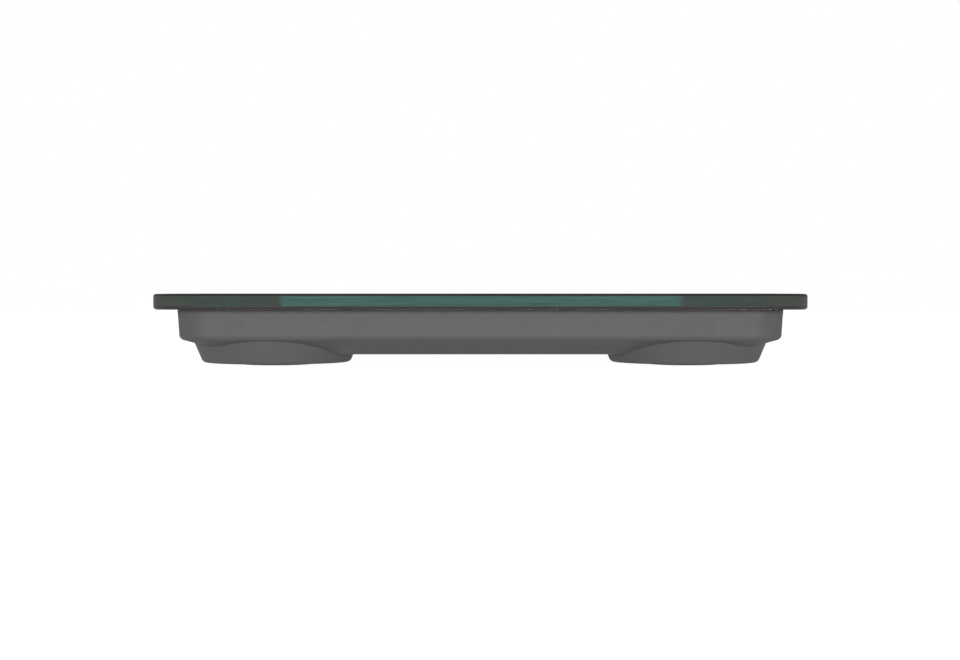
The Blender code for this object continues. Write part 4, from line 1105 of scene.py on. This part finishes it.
# %% Model the unit button
BUTTON_FLANGE = 1.0 * MM
DISH_RADIUS = 0.72 * BUTTON_RADIUS
DISH_DEPTH = 0.18 * MM
DISH_STEPS = 6
BUTTON_EDGE = 0.35 * MM
button_shoulder = UNDERSIDE_Z + FLOOR + FIT_GAP
profile = [
    (0, button_high.z),
    (BUTTON_RADIUS + BUTTON_FLANGE, button_high.z),
    (BUTTON_RADIUS + BUTTON_FLANGE, button_shoulder),
    (BUTTON_RADIUS, button_shoulder),
    (BUTTON_RADIUS, button_low.z),
]
for step in range(DISH_STEPS + 1):
    reach = 1 - step / DISH_STEPS
    profile.append((DISH_RADIUS * reach, button_low.z + DISH_DEPTH * (1 - reach**2)))
bm = bmesh.new()
spin_profile(bm, profile, button_spot.x, button_spot.y, 48)
rim = ring_edges(bm, button_spot.x, button_spot.y, BUTTON_RADIUS, button_low.z)
round_edges(bm, rim, BUTTON_EDGE)
make_piece(bm, "button_cap", "button", (dark_plastic,), ("unit_button",))
print("button", round(2 * BUTTON_RADIUS / MM, 1), "mm across")

# %% [markdown]
# ## Display
# A liquid crystal display is a sandwich of two thin glasses with a polariser film on it. The
# rear glass is longer, because its free edge carries the contacts. The lit segments look like
# dark ink, and the resting ones leave a faint ghost. Each segment is a thin bar with pointed
# ends, made by bevelling the corners of a block until they meet, so that its outline stays sharp
# however close the eye comes. The display shows a plain zero.

# %% Finishes of the display
lcd_back = finish("lcd_rear_glass", (0.30, 0.33, 0.29), 0.12, IOR=1.5)
uneven_colour(lcd_back, 5 * MM, (0.28, 0.31, 0.27), (0.32, 0.35, 0.31))
lcd_film = finish("lcd_polariser", (0.36, 0.40, 0.33), 0.3, IOR=1.5, Coat_Weight=0.4)
uneven_colour(lcd_film, 11 * MM, (0.345, 0.385, 0.315), (0.375, 0.415, 0.345), detail=3)
uneven_roughness(lcd_film, 0.6 * MM, 0.25, 0.36)
bumpy(lcd_film, noise(lcd_film, 0.12 * MM), 0.002 * MM)
lcd_dark = finish("lcd_dark_segment", (0.012, 0.014, 0.013), 0.35)
uneven_colour(lcd_dark, 1.5 * MM, (0.010, 0.012, 0.011), (0.016, 0.018, 0.016))
lcd_ghost = finish("lcd_resting_segment", (0.31, 0.345, 0.285), 0.3)
uneven_colour(lcd_ghost, 1.5 * MM, (0.30, 0.335, 0.275), (0.325, 0.36, 0.30))
print("display finishes ready")

# %% Model the display
FRONT_GLASS = 0.8 * MM
POLARISER = 0.15 * MM
CONTACT_EDGE = 2.4 * MM
DISPLAY_CORNER = 0.3 * MM
FILM_INSET = 0.8 * MM
FILM_CORNER = 0.4 * MM
DIGITS = 4
DIGIT_SIZE = Vector((5.0 * MM, 9.6 * MM, 0))
DIGIT_PITCH = 8.4 * MM
SEGMENT_WIDTH = 1.05 * MM
SEGMENT_GAP = 0.14 * MM
SEGMENT_HEIGHT = 0.02 * MM
LEAN = math.tan(math.radians(6))
# Each segment of a digit: its middle in halves of the digit's size, and if it lies level.
SEGMENTS = {
    "top": (0, 1, True),
    "middle": (0, 0, True),
    "foot": (0, -1, True),
    "upper_left": (-1, 0.5, False),
    "upper_right": (1, 0.5, False),
    "lower_left": (-1, -0.5, False),
    "lower_right": (1, -0.5, False),
}


def add_segment(bm, centre, length, level, bottom):
    """One bar with pointed ends."""
    half = Vector((length, SEGMENT_WIDTH, 0) if level else (SEGMENT_WIDTH, length, 0)) / 2
    up = Vector((0, 0, SEGMENT_HEIGHT))
    start = len(bm.verts)
    add_block(bm, centre - half + bottom, centre + half + bottom + up)
    upright = [e for v in list(bm.verts)[start:] for e in v.link_edges if is_upright(e)]
    round_edges(bm, upright, HALF_ROUND * SEGMENT_WIDTH, 1)


lcd_size = display_high - display_low
rear_high = display_high - Vector((0, 0, FRONT_GLASS))
rear = rounded_slab(display_low, rear_high, DISPLAY_CORNER, 3)
make_piece(rear, "display_rear_glass", "scale_body", (lcd_back,), ("lcd_panel",))
front_low = Vector((display_low.x, display_low.y, display_high.z - FRONT_GLASS))
front_low.y += CONTACT_EDGE
front_high = display_high - Vector((0, 0, POLARISER + SEGMENT_HEIGHT))
front = rounded_slab(front_low, front_high, DISPLAY_CORNER, 3)
make_piece(front, "display_front_glass", "scale_body", (lcd_back,))
inset = Vector((FILM_INSET, FILM_INSET, 0))
film_low = Vector((front_low.x, front_low.y, front_high.z)) + inset
film_high = Vector((front_high.x, front_high.y, front_high.z + POLARISER)) - inset
film = rounded_slab(film_low, film_high, FILM_CORNER, 3)
make_piece(film, "display_polariser", "scale_body", (lcd_film,))
print("display", [round(v / MM, 1) for v in lcd_size], "mm")

# %% [markdown]
# The digits lean a little, as such digits do. Their segments go to one of two pieces, the lit
# ones and the resting ones, so that each piece has one finish.

# %% Model the digits
lit, resting = bmesh.new(), bmesh.new()
bottom = Vector((0, 0, film_high.z))
half = (DIGIT_SIZE - Vector((SEGMENT_WIDTH, SEGMENT_WIDTH, 0))) / 2
for digit in range(DIGITS):
    shift = (digit - (DIGITS - 1) / 2) * DIGIT_PITCH
    centre = Vector((display_middle.x + shift, display_middle.y, 0))
    for name, (across, along, level) in SEGMENTS.items():
        shows = digit == DIGITS - 1 and name != "middle"
        spot = centre + Vector((across * half.x, along * half.y, 0))
        spot.x += LEAN * along * half.y
        reach = 2 * half.x if level else half.y
        bm = lit if shows else resting
        add_segment(bm, spot, reach + SEGMENT_WIDTH - 2 * SEGMENT_GAP, level, bottom)
make_piece(lit, "display_zero", "scale_body", (lcd_dark,))
make_piece(resting, "display_ghosts", "scale_body", (lcd_ghost,))
print(DIGITS, "digits", round(DIGIT_SIZE.y / MM, 1), "mm high")

# %% [markdown]
# ## Coin cell
# The cell shows when its door is open. It is turned like the feet: a wide can whose rim is
# crimped over a nylon gasket, and a narrower lid above it. Nickel-plated steel keeps fine turning
# marks; here its colour and roughness vary, and a fine noise bumps it.

# %% Model the coin cell
COIN_RADIUS = (coin_high.x - coin_low.x) / 2
LID_RADIUS = COIN_RADIUS - 1.2 * MM
LID_STEP = 0.25 * MM
DIMPLE = 0.12 * MM
COIN_EDGE = 0.3 * MM
nickel = finish("nickel_plate", (0.66, 0.63, 0.58), 0.28, Metallic=1.0)
uneven_colour(nickel, 6 * MM, (0.62, 0.59, 0.54), (0.70, 0.67, 0.62), detail=4)
uneven_roughness(nickel, 1.2 * MM, 0.2, 0.38)
bumpy(nickel, noise(nickel, 0.5 * MM, 3), 0.004 * MM)
bm = bmesh.new()
profile = [
    (0, coin_high.z),
    (LID_RADIUS - 0.9 * MM, coin_high.z),
    (LID_RADIUS - 0.5 * MM, coin_high.z - LID_STEP),
    (LID_RADIUS, coin_high.z - LID_STEP),
    (LID_RADIUS, coin_high.z - 2 * LID_STEP),
    (COIN_RADIUS - 0.6 * MM, coin_high.z - 0.45 * MM),
    (COIN_RADIUS, coin_high.z - 0.8 * MM),
    (COIN_RADIUS, coin_low.z),
    (COIN_RADIUS - 1.4 * MM, coin_low.z),
    (COIN_RADIUS - 1.8 * MM, coin_low.z + DIMPLE),
    (0, coin_low.z + DIMPLE),
]
spin_profile(bm, profile, 0, coin_y, 96)
round_edges(bm, ring_edges(bm, 0, coin_y, COIN_RADIUS, coin_low.z), COIN_EDGE)
make_piece(bm, "coin_cell", "scale_body", (nickel,), ("battery_cell",))
print("coin cell", round(2 * COIN_RADIUS / MM, 1), "mm across")

# %% [markdown]
# ## Screws
# Ten small pan-head screws hold the load cells and the board. A thread cut by a helix would
# cost thousands of faces on a part that sits in its post, so each is spun from a section with
# closed grooves, which looks the same at this size. The cross recess is cut from the head by
# two crossed bars.

# %% Model the screws
zinc = finish("zinc_plate", (0.60, 0.61, 0.62), 0.3, Metallic=1.0)
uneven_colour(zinc, 2 * MM, (0.54, 0.55, 0.57), (0.66, 0.67, 0.67), detail=3)
uneven_roughness(zinc, 0.7 * MM, 0.22, 0.42)
bumpy(zinc, noise(zinc, 0.25 * MM, 3), 0.003 * MM)
HEAD_HEIGHT = 1.2 * MM
SCREW_RADIUS = 0.95 * MM
THREAD_PITCH = 0.8 * MM
THREAD_DEPTH = 0.22 * MM
SCREW_POINT = 0.8 * MM
RECESS_WIDTH = 0.55 * MM
RECESS_DEPTH = 0.8 * MM
CROWN_SHARE = 0.6
RECESS_SHARE = 0.62
CROWN_DROP = 0.5 * MM
CROWN_EDGE = 0.2 * MM


def screw_shape(name):
    """A pan-head screw in the place of a CAD screw."""
    low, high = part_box(name)
    spot, head_radius = middle(name), (high.x - low.x) / 2
    under, crown_radius = high.z - HEAD_HEIGHT, CROWN_SHARE * head_radius
    profile = [(0, high.z), (crown_radius, high.z), (head_radius, high.z - CROWN_DROP)]
    profile += [(head_radius, under), (SCREW_RADIUS, under)]
    turns = int((under - low.z - SCREW_POINT) / THREAD_PITCH)
    for turn in range(turns):
        crest = under - (turn + 0.2) * THREAD_PITCH
        for reach, drop in ((0, 0), (THREAD_DEPTH, 0.3), (THREAD_DEPTH, 0.6)):
            profile.append((SCREW_RADIUS - reach, crest - drop * THREAD_PITCH))
    profile += [(SCREW_RADIUS, low.z + SCREW_POINT), (0, low.z)]
    bm = bmesh.new()
    spin_profile(bm, profile, spot.x, spot.y, 24)
    crown_edge = ring_edges(bm, spot.x, spot.y, crown_radius, high.z)
    round_edges(bm, crown_edge, CROWN_EDGE, 2)
    top = Vector((spot.x, spot.y, high.z + MM))
    foot = Vector((spot.x, spot.y, high.z - RECESS_DEPTH))
    long, short = RECESS_SHARE * head_radius, RECESS_WIDTH / 2
    bars = bmesh.new(), bmesh.new()
    for bar, half in zip(bars, (Vector((long, short, 0)), Vector((short, long, 0)))):
        add_block(bar, foot - half, top + half)
    return carve(bm, carve(*bars, "UNION"))


for name in screws:
    screw = screw_shape(name)
    make_piece(screw, "cross_" + name, "scale_body", (zinc,), (name,))
print(len(screws), "screws")

# %% [markdown]
# ## Inner parts
# The other inner parts keep their CAD shapes, which are already right, and only get a finish.
# One helper gives a finish to every solid whose name starts with a word, through the object's
# own material slot, so the shared mesh data stays as it came.

# %% Helper that dresses the CAD solids
def dress(material, *starts):
    """Give a finish to the CAD solids whose names start with one of these words."""
    chosen = [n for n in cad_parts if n.startswith(starts)]
    for name in chosen:
        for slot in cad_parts[name].material_slots:
            slot.link = "OBJECT"
            slot.material = material
    print(material.name, "on", len(chosen))


# %% [markdown]
# Load cells are stamped from spring steel and bead-blasted, so they look like satin with faint
# rolling marks along their length. The strain gauges on them lie under a blob of milky silicone.

# %% Finish the load cells
satin_steel = finish("satin_load_cell_steel", (0.50, 0.49, 0.47), 0.38, Metallic=1.0)
uneven_colour(satin_steel, 5 * MM, (0.46, 0.45, 0.43), (0.55, 0.54, 0.52), detail=4)
uneven_roughness(satin_steel, 0.4 * MM, 0.32, 0.46, (25, 1, 1))
bumpy(satin_steel, noise(satin_steel, 0.2 * MM, 2, (30, 1, 1)), 0.003 * MM)
dress(satin_steel, "load_cell_")
milky = {"Subsurface_Weight": 0.3, "Subsurface_Scale": MM}
silicone = finish("milky_silicone", (0.70, 0.69, 0.64), 0.35, **milky)
uneven_colour(silicone, 2 * MM, (0.66, 0.65, 0.60), (0.76, 0.75, 0.70))
bumpy(silicone, noise(silicone, 1.2 * MM, 2), 0.08 * MM)
dress(silicone, "gauge_coating_")
white_plastic = finish("white_moulded_plastic", (0.62, 0.62, 0.60), 0.45)
uneven_colour(white_plastic, 7 * MM, (0.58, 0.58, 0.56), (0.66, 0.66, 0.64))
uneven_roughness(white_plastic, 1.5 * MM, 0.38, 0.52)
bumpy(white_plastic, noise(white_plastic, 0.4 * MM), 0.008 * MM)
dress(white_plastic, "lcd_holder")
dress(dark_plastic, "cell_retainer_", "tact_switch")
dress(nickel, "battery_contact_", "touch_spring_")

# %% [markdown]
# The circuit board is green solder mask over copper. Under the mask, the traces show as slightly
# raised, lighter lines: bands of two waves that cross, cut off at a level, run over the board
# the way a routed layer does. The connector strip is silicone with black carbon layers, and the
# controller lies under a drop of black epoxy.

# %% Finish the board and what it carries
TRACE_PITCH = 1.9 * MM
STRIPE_PITCH = 0.4 * MM
# A Wave texture of scale 1 repeats its bands at this distance.
WAVE_PITCH = 0.314
mask_green = finish("green_solder_mask", (0.010, 0.085, 0.030), 0.25, Coat_Weight=0.4)
place = add_node(mask_green, "TexCoord").outputs["Object"]
tracks = []
for axis in ("X", "Y"):
    links = {"Vector": place, "Scale": WAVE_PITCH / TRACE_PITCH, "Distortion": 1.5, "Detail": 1.0}
    wave = add_node(mask_green, "TexWave", links, bands_direction=axis)
    tracks.append(step_up(mask_green, wave.outputs["Fac"], 0.86, 0.92))
both = calculate(mask_green, "MAXIMUM", *tracks)
green = mixed(mask_green, both, (0.009, 0.075, 0.026), (0.030, 0.150, 0.055))
feed(mask_green, "Base Color", green)
uneven_roughness(mask_green, 3 * MM, 0.2, 0.32)
bumpy(mask_green, both, 0.03 * MM)
dress(mask_green, "circuit_board")
epoxy = finish("black_epoxy", (0.010, 0.010, 0.011), 0.18)
uneven_colour(epoxy, 3 * MM, (0.008, 0.008, 0.009), (0.014, 0.014, 0.015))
uneven_roughness(epoxy, 2 * MM, 0.12, 0.3)
bumpy(epoxy, noise(epoxy, 3 * MM, 2), 0.15 * MM)
dress(epoxy, "controller_chip")
stripes = finish("striped_elastomer", (0.4, 0.38, 0.36), 0.6)
place = add_node(stripes, "TexCoord").outputs["Object"]
wave = add_node(stripes, "TexWave", {"Vector": place, "Scale": WAVE_PITCH / STRIPE_PITCH})
feed(stripes, "Base Color", mixed(stripes, wave.outputs["Fac"], (0.02,) * 3, (0.55, 0.52, 0.5)))
dress(stripes, "zebra_connector")

# %% [markdown]
# The wires have soft PVC insulation: a slightly glossy, saturated colour that wanders a little,
# with faint marks along it from the die.

# %% Finish the wires
INSULATIONS = {
    "red_insulation": ((0.42, 0.016, 0.012), "battery_lead_positive"),
    "black_insulation": ((0.012, 0.012, 0.012), "battery_lead_negative"),
    "grey_insulation": ((0.19, 0.19, 0.20), "cell_lead_"),
}
for name, (colour, start) in INSULATIONS.items():
    pvc = finish(name, colour, 0.4)
    dark, light = [tuple(c * share for c in colour) for share in (0.85, 1.15)]
    uneven_colour(pvc, 3 * MM, dark, light)
    uneven_roughness(pvc, MM, 0.34, 0.48)
    bumpy(pvc, noise(pvc, 0.3 * MM), 0.01 * MM)
    dress(pvc, start)
